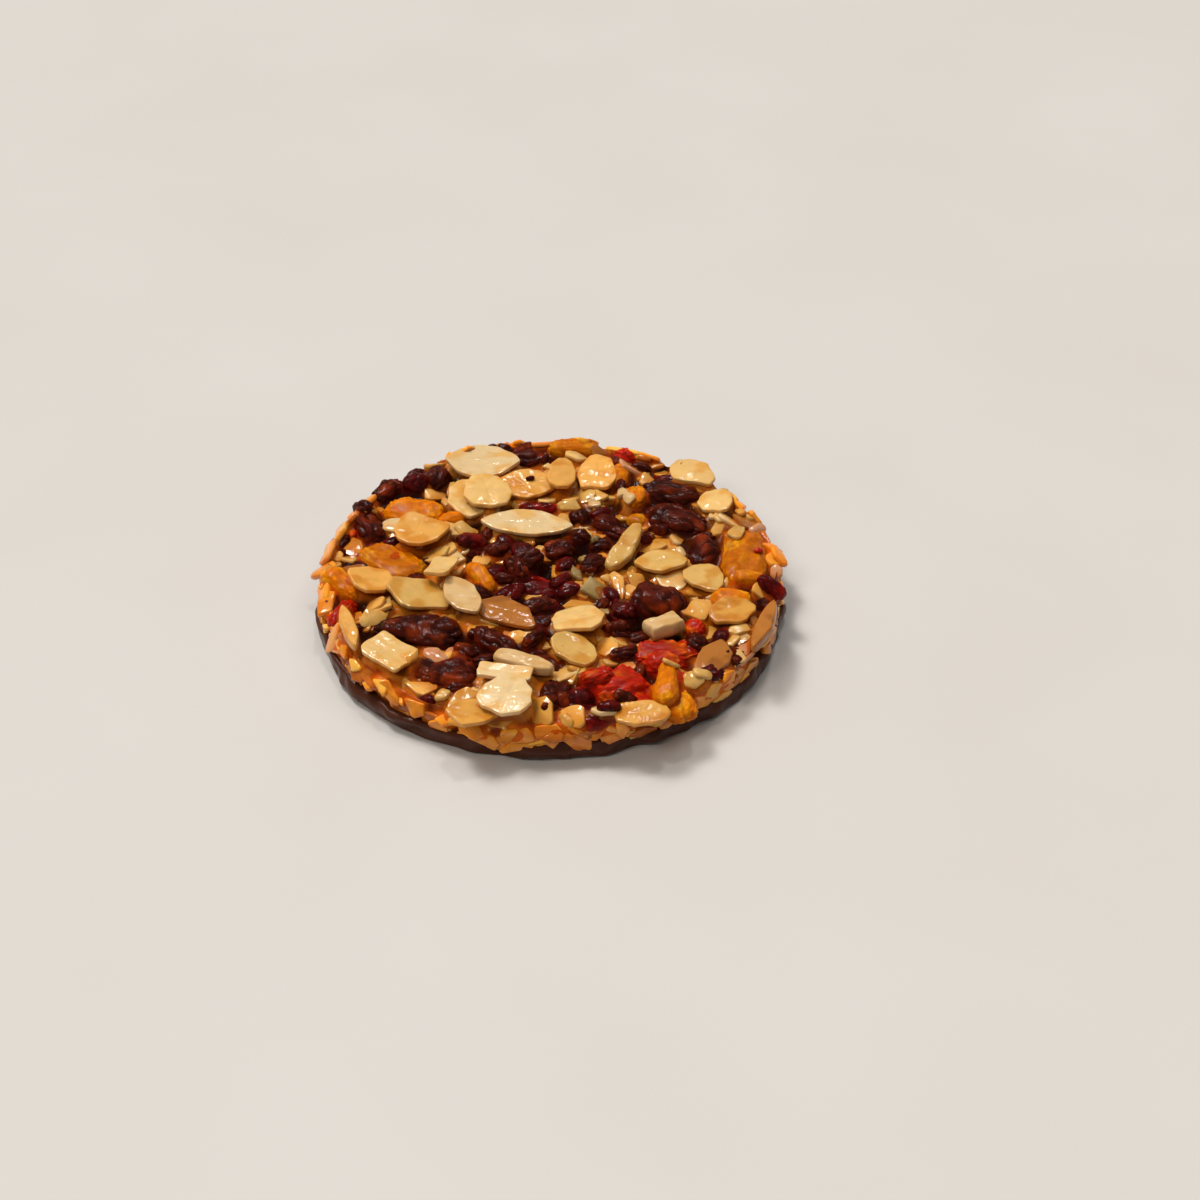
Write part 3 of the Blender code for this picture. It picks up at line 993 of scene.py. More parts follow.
def broken_outline(length: float, width: float, rng: np.random.Generator, count: int, breaks: int) -> Array:
    """The outline of a broken piece of almond slice, as its distance from the middle in each direction.

    It is the smaller of two: an oval, and the nearest of a few straight lines set round the middle.

    Args:
        length: The piece's length.
        width: Its width.
        rng: The source of chance.
        count: How many directions.
        breaks: How many straight breaks.

    Returns:
        One distance for each direction, starting along the length.
    """
    way = around_the_clock(count)
    oval = 1 / np.hypot(np.cos(way) * 2 / length, np.sin(way) * 2 / width)
    spread = (np.arange(breaks) + rng.uniform(-0.35, 0.35, breaks)) * 2 * math.pi / breaks
    lines = spread + rng.uniform(0, 6.28)
    reach = rng.uniform(0.62, 1.0, breaks) / np.hypot(np.cos(lines) * 2 / length, np.sin(lines) * 2 / width)
    return np.minimum(oval, nearest_line(way, lines, reach))


def chipped(ring: Array, breaks: int, deepest: float, rng: np.random.Generator) -> Array:
    """Breaks the edge of an outline along a few straight lines.

    Args:
        ring: The outline, as distances from its middle, starting along the length.
        breaks: How many lines.
        deepest: How near the middle a line may come, as a share of the outline's own reach that way.
        rng: The source of chance.

    Returns:
        The outline with its edge broken.
    """
    way = around_the_clock(len(ring))
    lines = rng.uniform(0, 2 * math.pi, breaks)
    reach = (ring * np.cos(way - lines[:, None])).max(axis=1) * rng.uniform(deepest, 1.0, breaks)
    return np.minimum(ring, nearest_line(way, lines, reach))


def formed(ring: Array, form: Form, rng: np.random.Generator) -> Array:
    """Gives an outline the form that its slice broke into, hardly outside the outline given.

    An oval keeps nearly all of it. A leaf is what two arcs share that meet in points at both ends. A shard is
    cut by five straight breaks. A square is bounded by four straight edges along and across.

    Args:
        ring: The outline, as distances from its middle, starting along the length.
        form: Its form.
        rng: The source of chance.

    Returns:
        The new outline.
    """
    count = len(ring)
    way = around_the_clock(count)
    along, across = np.abs(np.cos(way)), np.abs(np.sin(way))
    length, width = (ring[0] + ring[count // 2]) / 2, (ring[count // 4] + ring[3 * count // 4]) / 2
    if form is Form.LEAF:
        curve = np.maximum(width * (along / length) ** 2, TINY)
        leaf = 1.05 * (np.sqrt(across**2 + 4 * curve * width) - across) / (2 * curve)
        return np.minimum(1.02 * ring, leaf)
    if form is Form.SQUARE:
        square = np.minimum(0.9 * length / np.maximum(along, 1e-3), 0.92 * width / np.maximum(across, 1e-3))
        return chipped(np.minimum(1.05 * ring, square), 2, 0.9, rng)
    if form is Form.SHARD:
        return chipped(1.03 * ring, 5, 0.72, rng)
    return chipped(ring, 2, 0.9, rng)


def slice_surface(ring: Array, cut: Cut, rng: np.random.Generator) -> tuple[Array, Array]:
    """The surface of a flat piece of almond about its middle, from the middle of its underside to its top's.

    Each row is the outline drawn in by a distance. Within the rim's rounding the half thickness grows as a
    quarter circle, and inside that it is even, with low lumps and a slow bend over the whole piece.

    Args:
        ring: The outline, as distances from the middle.
        cut: How it was cut.
        rng: The source of chance.

    Returns:
        The surface, and for each point its distance from the rim, signed: above the rim positive.
    """
    count = len(ring)
    way = around_the_clock(count)
    flat = max(ring.min() - cut.rim, 0.3 * ring.min())
    steps = FINE_RIM if count > FINE_COUNT else COARSE_RIM
    insets = cut.rim * np.array(steps)
    bulge = np.sqrt(1 - (1 - insets / cut.rim) ** 2)
    rim = ring - np.minimum(insets[:, None], 0.7 * ring)
    shares = np.linspace(1, 0, cut.rows + 1)[1:]
    radii = np.concatenate([rim, rim[-1] * shares[:, None]])
    halves = np.concatenate([bulge, np.ones(len(shares))])[:, None] * cut.thickness / 2
    depth = np.concatenate([np.broadcast_to(insets[:, None], rim.shape), ring - radii[len(insets) :]])
    under_radii, under_halves, under_depth = radii[:0:-1], -halves[:0:-1], -depth[:0:-1]
    radii = np.concatenate([under_radii, radii])
    height = np.broadcast_to(np.concatenate([under_halves, halves]), radii.shape)
    depth = np.concatenate([under_depth, depth])
    points = round_points(radii, way, height)
    x, y = points[..., 0], points[..., 1]
    reach = ring.max()
    lumps = cut.lump * ripples(points * [1, 1, 0.3], cut.lump_width, rng)
    lumps = lumps + 0.5 * cut.lump * ripples(points, cut.small_width, rng)
    lengthwise = cut.bend * rng.uniform(-1, 1) * (x / reach) ** 2
    crosswise = cut.bend * rng.uniform(-1, 1) * (y / flat) ** 2 * 0.3
    seam = -cut.seam * np.exp(-((y - cut.seam_slant * x) / cut.seam_width) ** 2)
    seam = seam * smoothstep(0.9, 0.3, np.abs(x) / reach)
    height = height + lumps * np.where(depth > 0, 1.0, 0.4) + (lengthwise + crosswise) + seam * (depth > 0)
    return round_points(radii, way, height), depth


@dataclass(frozen=True)
class Baking:
    """How almond colours as it bakes: the widths of its stains in millimetres, and how strong they are."""

    patch_width: float = 5.5
    spot_width: float = 1.8
    spots: float = 0.3
    browned: float = 1.1
    browned_width: float = 1.1
    strongest: float = 0.9
    full: float = 2.0
    edge_width: float = 0.13
    edge: float = 0.55
    edge_varies: float = 0.35
    edge_patch: float = 3.5
    underside: float = 0.7
    fresh: float = 1.1
    shades: tuple[float, float] = (0.94, 1.05)


BAKING = Baking()


def almond_tint(surface: Array, depth: Array, kind: Almond, rng: np.random.Generator) -> Array:
    """Colours a piece of almond: golden patches over its face and near its rim, and a pale freshly cut edge.

    Args:
        surface: Its points.
        depth: Their distances from the rim.
        kind: How it was cut and baked.
        rng: The source of chance.

    Returns:
        A colour for each point.
    """
    face, patch, rim = (linear(colour) for colour in kind.value)
    stain = ripples(surface, BAKING.patch_width, rng)
    stain = stain + BAKING.spots * ripples(surface, BAKING.spot_width, rng)
    stain = stain + BAKING.browned * np.exp(-np.abs(depth) / BAKING.browned_width)
    colour = mix(face, patch, BAKING.strongest * smoothstep(0.0, BAKING.full, stain))
    cut = BAKING.edge + BAKING.edge_varies * ripples(surface, BAKING.edge_patch, rng)
    cut = np.exp(-((depth / BAKING.edge_width) ** 2)) * cut
    colour = mix(colour, rim, BAKING.underside * (depth < 0))
    colour = mix(colour, BAKING.fresh * face, cut)
    return colour * rng.uniform(*BAKING.shades)


def drawn(shares: dict[Almond, float], rng: np.random.Generator) -> Almond:
    """A kind of almond piece, drawn by the share of each."""
    kinds = list(shares)
    return kinds[rng.choice(len(kinds), p=np.array(list(shares.values())))]


# The large pieces that were cut and baked alike, and the form they broke into
LOOKS = (
    (Almond.LIGHT, Form.SHARD, "flake_02 flake_03"),
    (Almond.LIGHT, Form.SQUARE, "flake_20 flake_21"),
    (Almond.AMBER, Form.SHARD, "flake_04 flake_12"),
    (Almond.AMBER, Form.OVAL, "flake_05"),
    (Almond.HONEY, Form.OVAL, "flake_06 flake_16"),
    (Almond.HONEY, Form.SHARD, "flake_07 flake_08 flake_09"),
    (Almond.HONEY, Form.LEAF, "stick_01"),
    (Almond.TAN, Form.SHARD, "flake_10"),
    (Almond.TAN, Form.OVAL, "flake_13 flake_19 stick_04"),
    (Almond.TAN, Form.LEAF, "flake_18"),
    (Almond.BAKED, Form.SHARD, "flake_11 flake_14"),
    (Almond.BAKED, Form.LEAF, "stick_02"),
    (Almond.PALE, Form.LEAF, "flake_17"),
    (Almond.PALE, Form.SQUARE, "stick_03 block_01"),
    (Almond.CREAM, Form.LEAF, "flake_22 flake_23"),
    (Almond.CREAM, Form.SQUARE, "flake_25"),
    (Almond.CREAM, Form.OVAL, "flake_26"),
)


@dataclass
class AlmondSlices:
    """The large slices, sticks and block of almond, each where its CAD solid lies."""

    usual: tuple[Almond, Form] = (Almond.LIGHT, Form.OVAL)
    softness: float = 0.5
    nicks: tuple[tuple[float, float], ...] = ((0.02, 1.6), (0.10, 6.0))

    def build(self, heap: Heap) -> Gathering:
        """Makes every large piece of almond and lays it on the heap.

        Args:
            heap: The heap, which learns where they lie.

        Returns:
            The gathered pieces.
        """
        looks = {f"almond_{name}": (kind, form) for kind, form, names in LOOKS for name in names.split()}
        gathered = Gathering("almond_slices")
        for number, name in enumerate(nodes_named("almond_")):
            rng = Seed.SLICES.source(number)
            corners = node_corners(name)
            seat = slab_seat(corners)
            local = (corners - seat.middle) @ np.array([seat.along, seat.across]).T
            cut = STICK if "stick" in name else BLOCK if "block" in name else SLICE
            ring = outline_of(local, cut.around)
            kind, form = looks.get(name, self.usual)
            edge = round_points(ring, around_the_clock(cut.around))
            nicks = sum(height * ripples(edge, width, rng) for height, width in self.nicks)
            ring = softened(formed(ring, form, rng), self.softness) + nicks
            surface, depth = slice_surface(ring, cut, rng)
            tint = almond_tint(surface, depth, kind, rng)
            heap.lay(gathered, seat.place(surface), tint, Role.LID)
        return gathered


# ---------------------------------------------------------------------------------------------------------
# Fruit


class Fruit(Enum):
    """The kinds of fruit, by what their pieces are called."""

    RAISIN = "raisins"
    CRANBERRY = "dried_cranberries"
    CHERRY = "candied_cherries"
    PEEL = "candied_peel"


@dataclass(frozen=True)
class Skin:
    """How a fruit's surface goes: its folds and knobs in millimetres, and its colours, with painted shade in
    its folds.
    """

    stem: str
    fullness: float
    fold: float
    fold_width: float
    lump: float
    knob: float
    knobs: int
    # The first colour is painted shade in the folds and between the knobs, the second the lit ridges and knob
    # tops
    shaded_valley: str
    lit_ridge: str
    blush: str
    step: float = 0.27
    fine_fold: float = 0.42
    broad_share: float = 0.68
    fine_share: float = 0.32
    crease: float = 0.6
    lump_width: float = 6.0
    knob_width: float = 2.2
    knob_share: float = 0.6
    blush_width: float = 5.0
    blush_share: float = 0.8
    shades: tuple[float, float] = (0.8, 1.15)


# Each skin's darkest colour is painted shade in its folds and between its knobs; its lighter colours go on
# the lit ridges and knob tops
SKINS = {
    Fruit.RAISIN: Skin("raisin", 0.92, 0.75, 4.2, 0.35, 0.0, 0, "#0E0100", "#4C1001", "#7E2802"),
    Fruit.CRANBERRY: Skin("dried_cranberry", 0.95, 0.45, 3.0, 0.25, 0.0, 0, "#180101", "#520502", "#8E1206"),
    Fruit.CHERRY: Skin("candied_cherry", 0.85, 0.15, 2.5, 0.35, 0.75, 150, "#900C01", "#D02E02", "#F07A08"),
    Fruit.PEEL: Skin("candied_peel", 0.78, 0.12, 3.4, 0.35, 0.35, 260, "#AE5400", "#D88000", "#EAA418"),
}

# Half the width from which a fruit's folds are as wide, and as deep, as its skin says
WIDE_FOLDS = 3.5
DEEP_FOLDS = 2.2
FULL_SIZE = 1.05


def fruit_surface(halves: Array, skin: Skin, rng: np.random.Generator) -> tuple[Array, Array]:
    """The surface of a dried or candied fruit about its middle, from one end to the other.

    An ellipsoid, its sides as full as the fruit is, with slow lumps. Folds run mostly along it: they follow
    the lines where smooth noise crosses zero, sharp at the bottom and round between. Knobs are bell shapes
    spread evenly over it, of which each point takes the highest.

    Args:
        halves: Half its length, width and height.
        skin: How its surface goes.
        rng: The source of chance.

    Returns:
        The surface, and for each point how far up the folds and knobs it is, from 0 to 1.
    """
    rows = max(14, round(2 * halves[0] / skin.step))
    around = max(20, round(math.pi * (halves[1] + halves[2]) / skin.step))
    end = np.linspace(0, math.pi, rows)[:, None]
    way = around_the_clock(around)[None, :]
    ball = np.stack([-np.cos(end) + 0 * way, np.sin(end) * np.cos(way), np.sin(end) * np.sin(way)], axis=-1)
    shape = np.sign(ball) * np.abs(ball) ** skin.fullness * halves
    outward = ball / halves
    outward /= np.linalg.norm(outward, axis=-1, keepdims=True)
    small = min(1.0, halves[1] / WIDE_FOLDS)
    stretched = shape * [0.7, 1.0, 1.0]
    first = np.minimum(np.abs(ripples(stretched, skin.fold_width * small, rng)), 1.2) / 1.2
    fine = skin.fine_fold * skin.fold_width * small
    second = np.minimum(np.abs(ripples(shape * [0.8, 1, 1], fine, rng)), 1.0)
    folds = skin.broad_share * first**skin.crease + skin.fine_share * second**skin.crease
    lumps = ripples(shape, skin.lump_width, rng)
    deep = min(1.0, halves[1] / DEEP_FOLDS)
    push = deep * (skin.fold * (folds - 1) + skin.lump * lumps * 0.7)
    height = folds
    if skin.knobs:
        spot = np.arange(skin.knobs) + 0.5
        rise, swing = 1 - 2 * spot / skin.knobs, spot * GOLDEN_ANGLE + rng.uniform(-0.3, 0.3, skin.knobs)
        flat = np.sqrt(1 - rise**2)
        spots = np.stack([rise, flat * np.cos(swing), flat * np.sin(swing)], axis=-1)
        spots += rng.normal(scale=0.09, size=spots.shape)
        near = ((ball[..., None, :] - spots) ** 2).sum(axis=-1)
        bells = np.exp(-near * skin.knobs / skin.knob_width) * rng.uniform(0.6, 1.0, skin.knobs)
        bells = bells.max(axis=-1)
        push = push + skin.knob * small * (bells - 0.5)
        height = (1 - skin.knob_share) * folds + skin.knob_share * bells
    return shape + outward * push[..., None], height


def fruit_tint(surface: Array, height: Array, skin: Skin, rng: np.random.Generator) -> Array:
    """Colours a fruit with painted light: darker in its folds as painted shade, lighter on its ridges, and
    blushed in patches on the ridges.

    Args:
        surface: Its points.
        height: How far up the folds they are.
        skin: How its surface goes.
        rng: The source of chance.

    Returns:
        A colour for each point.
    """
    # Painted shade: dark down in the folds and between the knobs, lighter up on the ridges and knob tops,
    # where the blush also goes
    colour = mix(linear(skin.shaded_valley), linear(skin.lit_ridge), height**1.5)
    blush = smoothstep(0.2, 1.8, ripples(surface, skin.blush_width, rng)) * height
    return mix(colour, linear(skin.blush), skin.blush_share * blush) * rng.uniform(*skin.shades)


@dataclass(frozen=True)
class LargeFruit:
    """The large fruit of one kind, each where its CAD solid lies."""

    kind: Fruit

    def build(self, heap: Heap) -> Gathering:
        """Makes the large fruit of this kind and lays it on the heap.

        Args:
            heap: The heap, which learns where it lies.

        Returns:
            The gathered fruit, to which bits are added later.
        """
        skin = SKINS[self.kind]
        gathered = Gathering(self.kind.value)
        for number, name in enumerate(nodes_named(skin.stem)):
            rng = Seed.FRUIT.source(100 * list(Fruit).index(self.kind) + number)
            seat, halves = lump_seat(node_corners(name))
            surface, height = fruit_surface(halves * FULL_SIZE, skin, rng)
            tint = fruit_tint(surface, height, skin, rng)
            heap.lay(gathered, seat.place(surface), tint, Role.ISLAND)
        return gathered


# ---------------------------------------------------------------------------------------------------------
# Small pieces


# Each row is x, y, length, width and turn from +X of a small piece, as in the CAD frame, lowest pieces first
BITS: dict[Almond | Fruit, tuple[tuple[float, ...], ...]] = {
    Fruit.RAISIN: (
        (10, 10, 6, 4, 20), (5, 12, 6, 4, -20), (1.5, 8.5, 6.5, 6, 0), (-2, -9.5, 7, 4, 10),
        (-1.5, -13.5, 4, 3, 0), (35.5, -24, 9, 4.5, 80), (-15.5, 8, 4, 3, 30), (-38, 3, 6, 3, -20),
        (-42, 7, 6, 2.5, 60), (-24, 5, 4, 3, 0), (-25.5, 34, 8, 4, 70), (26.5, 21.5, 12, 2.5, -40),
        (0.5, -36, 9, 4, 85), (-4, 3, 6, 4.5, 40), (30, 13, 5, 3.5, 20), (-16, -33, 5, 3, 10),
        (13, 39, 5, 3.5, 0), (-37, -17, 5, 3.5, 40), (14, -38, 5, 3, 0), (38, -12.5, 4, 3, 60),
    ),
    Fruit.CRANBERRY: (
        (-3, 22, 7.5, 4, -10), (3, -4.5, 6, 4, 0), (9.5, 20.5, 5, 3.5, 30), (-23, -36.7, 5, 3.5, 0),
        (-32, 10.5, 4.5, 3, 20), (6, -36, 5.5, 5, 0), (-11, 1, 5, 3.5, 30), (3, 3, 5, 4, 60),
        (33.5, -33, 6, 5, 40), (18, 12, 4, 3, 0), (-9, 11, 5, 3.5, 120), (12, -44, 5, 3.5, 10),
    ),
    Fruit.CHERRY: (
        (15, 41.5, 5, 5, 0), (22, -23, 13, 7, 5), (27.5, -16.5, 5, 4, 90), (9, -32, 6, 5, 0),
        (17, -37, 6, 5, 60), (-40, 14, 3.5, 3, 20), (40.5, 6, 2.2, 1.4, 30), (24, -33, 5, 4, 20),
    ),
    Fruit.PEEL: (
        (-13.5, -1, 9, 4, -60), (16.5, 25, 9, 5, 90),
        (34.5, -7.5, 8, 5, 0), (17, 18.5, 4, 4, 0), (25, -40.5, 10, 4.5, 88), (13.5, 33, 8, 4, 90),
        (-20, 19, 6, 4, 10), (38, -3, 6, 4, 0), (29, -29, 5, 4, -30), (28, -34, 5.5, 4, 60),
    ),
    Almond.AMBER: (
        (-29, -36, 13, 5, -40), (-20.5, -41, 8, 6, -20), (-39, -27, 7, 3.5, -50),
        (-15, -37, 8, 5, 60), (-1, -40, 11, 5, -65), (-42, 1.5, 5, 3.5, 90), (-39, 10, 9, 4, -80),
        (-24, 37, 9, 3.5, 45), (-37.5, 24, 6, 3.5, 60), (-9, -45.5, 8, 4, -10), (-33, -30, 9, 4, -48),
        (31, -38, 8, 4, 40), (-36, 20, 7, 3, 60), (20.5, 40, 8, 4, -25),
    ),
    Almond.BAKED: (
        (-21.5, 11.5, 9, 3, 65), (-40, -22, 8, 2.5, -58), (38.5, -14, 5.5, 2, -70), (39, 17, 10, 4, -60),
        (37, -30, 4.5, 3.5, 0), (9.5, 41, 7, 4, -20), (42, -11, 7, 3.5, 80),
    ),
    Almond.ROSY: ((15.5, 36, 9, 5, -40), (44, 2, 7, 2.5, 85), (14.5, -27, 5, 3, 10), (-28.5, 9, 5, 3, 40)),
    Almond.HONEY: (
        (6, 34, 9, 2, 65), (-7, 44, 10.5, 4.5, -5), (31, 29.5, 5, 3.5, 0), (-13.3, 4, 5, 4, 30),
        (-33, -9.7, 5, 4, 0), (-31.5, -28, 10, 5, -45), (-24.8, -28, 8, 2, 65), (-23, -33, 8, 4.5, -12),
        (-5, -45.5, 5, 4, 0), (5, -45, 6.5, 5, 0), (11, -22, 8, 4.5, 80), (13, -1.5, 12.5, 3, -80),
        (20.5, -1, 5, 2.5, 10), (25, -1.5, 5, 4, 40), (28.5, -11.5, 6, 5.5, 0), (30.5, -30.3, 4, 2.8, 30),
        (42, 10, 9, 3, 80), (41.5, -5.7, 6.5, 5, 0), (30, 24, 6, 3, -20), (-6, -19.5, 7, 3, 5),
    ),
    Almond.TAN: (
        (6.5, 27, 7.5, 4, 15), (3.5, 22.3, 7.8, 3, 5), (3, 18.7, 6, 3, -15), (-17, 14, 6, 4, -45),
        (-33.5, -14, 6.5, 4.5, 20), (-19, -35.5, 6, 2.5, 35), (3.5, -42, 4.5, 2, -50), (5, -10.5, 7, 4, 0),
        (12.7, -20, 7, 3, -70), (8.5, 4.3, 4.5, 3, 10), (16.5, -1, 8.5, 4, -50), (21, 9.5, 7.5, 3.2, 55),
        (35.5, -17.3, 8, 3, 5), (34.2, -20, 5, 3, 75), (27, -34.3, 5.5, 4, 20), (33, 16, 7.5, 3, 85),
        (-8.7, -2.3, 5, 4, 30), (-3, -5.5, 5.5, 4, -20), (31, -35.5, 4, 3, 0), (-15, 30.5, 7, 3.5, 20),
        (36.5, 12, 6, 3.5, 70), (22.5, -30.5, 4, 3, 0), (19, 32, 6, 3.5, -60),
    ),
    Almond.CREAM: (
        (5.8, 15.5, 5, 3.5, 20), (-21.5, 24.5, 6, 2, -65), (-2.5, 9, 4.5, 2.5, 25), (-3, -16.7, 4, 3, 10),
        (24.7, 12, 5.5, 3.2, -80), (20.5, 14.5, 4, 2, 0), (25.5, 7.5, 4.5, 2, -50), (27, -5.5, 7, 2.5, -50),
        (31.3, -6.3, 4, 2, 0), (25, -29.5, 5.5, 2.5, -50), (10.5, -28.5, 3.5, 1.6, 0),
        (-1, -20.7, 4, 2.5, 0), (13, -14, 6, 2.7, -50), (-12, 20.5, 5, 3, 40),
    ),
    Almond.GREY: (
        (8.5, -4, 7, 6, 20), (5, 0.5, 8, 2, -60), (7.3, 1.5, 7, 2, -62), (6.7, 6, 5.5, 2, 10),
        (8.7, 11, 7, 2, -70), (-15.5, -22.5, 7, 2, -55), (10.5, -10.5, 8, 2, -50),
    ),
    Almond.PALE: (
        (14, 25.5, 9.5, 3, -80), (-19, 5.5, 7.5, 4.5, -50), (-17.5, 8, 5, 3, -45),
        (11.5, -25.5, 3.5, 2.2, 10), (-34.5, 1.5, 4, 3, 0), (-13.3, -9.8, 5, 3, 20),
        (-3.5, -20, 3, 2, 0), (15.5, 22, 4, 2.5, -70),
    ),
}


# Each row is the middle and the size of a part of the cookie where the caramel is golden and nuts lie thick
GOLDEN_POOLS = (
    (-27, -31, 12), (-8, -39, 10), (29, -3, 10), (36, 14, 10),
    (-28, 8, 9), (2, 31, 12), (-40, 0, 8), (30, -30, 8),
)


def gold(x: Array | float, y: Array | float) -> Array:
    """How golden the caramel is at some places, by the nearest pool."""
    bells = [np.exp(-((x - px) ** 2 + (y - py) ** 2) / size**2) for px, py, size in GOLDEN_POOLS]
    return np.maximum.reduce(bells)


# Each row is x, y, length, width and turn of a dark seed that lies on top
SEEDS = ((-1.7, 38.3, 2.4, 1.3, 80), (-4.6, 30.0, 1.8, 1.1, 10))


@dataclass
class SmallPieces:
    """The chips, slivers and bits of fruit that fill the heap between the large toppings.

    First come chips strewn evenly, then stacks under the slices, then the placed pieces, and last whatever
    fits in the hollows: almond in the golden pools, and dark fruit away from them.
    """

    heap: Heap
    fruit: dict[Fruit, Gathering]
    under: int = 220
    tries: int = 700
    hollow: float = -0.35
    sizes: tuple[float, float] = (3.5, 9.0)
    # Chips below the heap's level are painted darker amber: partly the caramel they lie in, partly painted
    # shade in the heap's recesses
    soaked: tuple[float, float, float] = (0.80, 0.50, 0.12)
    sunk: tuple[float, float] = (-0.2, 1.5)
    pressed: float = 0.25
    askew: float = 0.1
    slim: float = 0.42
    long: float = 6.5
    clear: float = 0.35
    widths: tuple[float, float] = (0.35, 0.85)
    stacked: int = 3
    stack_reach: tuple[float, float] = (4.5, 8.0)
    stack_lengths: tuple[float, float] = (6.5, 10.5)
    stack_widths: tuple[float, float] = (0.5, 0.75)
    golden_from: float = 0.4
    plump: float = 0.85
    thickest: float = 4.5
    bit_foot: float = 0.45
    bit_half: float = 0.55
    bit_pressed: float = 0.3
    dark_tries: int = 500
    dark_bits: int = 44
    dark_hollow: float = -0.7
    dark_sizes: tuple[float, float] = (4.0, 7.5)
    raisin_share: float = 0.65
    shares: dict[Almond, float] = field(
        default_factory=lambda: {
            Almond.CREAM: 0.16, Almond.LIGHT: 0.22, Almond.TAN: 0.22, Almond.HONEY: 0.20, Almond.AMBER: 0.08,
            Almond.PALE: 0.04, Almond.BAKED: 0.05, Almond.ROSY: 0.03,
        }
    )

    def __post_init__(self) -> None:
        """Starts with nothing gathered."""
        self.gathered = Gathering("almond_chips")
        self.rng = Seed.SMALL_PIECES.source()

    def chip(self, kind: Almond, x: float, y: float, length: float, width: float, turn: float) -> None:
        """Lets one small piece of almond down on the heap.

        Args:
            kind: How the almond was cut and baked.
            x: Where.
            y: Where.
            length: Its length.
            width: Its width.
            turn: The turn of its length from +X, in degrees.
        """
        cut = SLIVER if width < self.slim * length else CHIP
        around = cut.around if length < self.long else 2 * cut.around
        ring = broken_outline(length, width, self.rng, around, int(self.rng.integers(4, 7)))
        tilt = self.rng.normal(scale=self.askew, size=2)
        seat = self.heap.rest(x, y, ring, turn, cut.thickness / 2, tilt, sink=self.pressed)
        surface, depth = slice_surface(ring, cut, self.rng)
        tint = almond_tint(surface, depth, kind, self.rng)
        surface = seat.place(surface)
        # Partly caramel soaked in, partly painted shade: the deeper a chip lies below the level, the darker
        # its colour
        below = self.heap.level(surface[..., 0], surface[..., 1]) - surface[..., 2]
        tint = mix(tint, tint * self.soaked, smoothstep(*self.sunk, below))
        self.heap.lay(self.gathered, surface, tint, Role.FLOOR)

    def any_chip(self, x: float, y: float, length: float, width: float) -> None:
        """Lets a small piece of any kind of almond down, turned any way."""
        self.chip(drawn(self.shares, self.rng), x, y, length, width, self.rng.uniform(0, 360))

    def bit(self, kind: Fruit, row: tuple[float, ...], on_top: bool = False) -> None:
        """Presses one bit of fruit into the heap.

        Args:
            kind: The kind of fruit.
            row: Where, its length and width, and its turn.
            on_top: Whether it lies on the slices.
        """
        x, y, length, width, turn = row
        skin = SKINS[kind]
        halves = np.array([length, width, self.plump * min(width, self.thickest)]) / 2
        ring = np.full(24, self.bit_foot * (length + width) / 2)
        tilt = self.rng.normal(scale=self.askew, size=2)
        sink = 0.0 if on_top else self.bit_pressed * halves[2]
        seat = self.heap.rest(x, y, ring, turn, self.bit_half * halves[2], tilt, sink=sink, on_top=on_top)
        surface, height = fruit_surface(halves, skin, self.rng)
        tint = fruit_tint(surface, height, skin, self.rng)
        self.heap.lay(self.fruit[kind], seat.place(surface), tint, Role.FLOOR)

    def anywhere(self) -> tuple[float, float]:
        """A place on the cookie, drawn evenly over its area."""
        out = self.heap.radius * math.sqrt(self.rng.uniform(0, 0.97))
        way = self.rng.uniform(0, 2 * math.pi)
        return out * math.cos(way), out * math.sin(way)

    def random_size(self) -> tuple[float, float]:
        """The length and width of a chip, more of them short than long."""
        length = self.sizes[0] + (self.sizes[1] - self.sizes[0]) * self.rng.beta(1.3, 2.2)
        return length, length * self.rng.uniform(*self.widths)

    def bed(self) -> None:
        """Strews chips evenly over the heap, except where large fruit stands."""
        for _ in range(self.under):
            x, y = self.anywhere()
            length, width = self.random_size()
            if not self.heap.on_island(x, y, self.clear * length):
                self.any_chip(x, y, length, width)

    def twins(self) -> None:
        """Slips further slices under the edges of the large ones, so that they lie in stacks."""
        for name in nodes_named("almond_flake"):
            middle = node_corners(name).mean(axis=0)
            for _ in range(self.stacked):
                off, way = self.rng.uniform(*self.stack_reach), self.rng.uniform(0, 2 * math.pi)
                x, y = middle[0] + off * math.cos(way), middle[1] + off * math.sin(way)
                length = self.rng.uniform(*self.stack_lengths)
                if not self.heap.on_island(x, y, self.clear * length):
                    self.any_chip(x, y, length, length * self.rng.uniform(*self.stack_widths))

    def placed(self) -> None:
        """Lays the pieces of the table where its rows say, then the seeds on top."""
        for kind, rows in BITS.items():
            for x, y, *rest in rows:
                row = (x - MIDDLE[0], y - MIDDLE[1], *rest)
                if isinstance(kind, Fruit):
                    self.bit(kind, row)
                else:
                    self.chip(kind, *row)
        for x, y, *rest in SEEDS:
            self.bit(Fruit.RAISIN, (x - MIDDLE[0], y - MIDDLE[1], *rest), on_top=True)

    def lighten(self) -> int:
        """Lays chips in the hollows of the golden pools, and tells how many."""
        filled = 0
        for _ in range(self.tries):
            x, y = self.anywhere()
            length, width = self.random_size()
            if gold(x, y) < self.golden_from or self.heap.on_island(x, y, self.clear * length):
                continue
            if self.heap.lowest(x, y, 0.3 * length) <= self.hollow:
                self.any_chip(x, y, length, width)
                filled += 1
        return filled

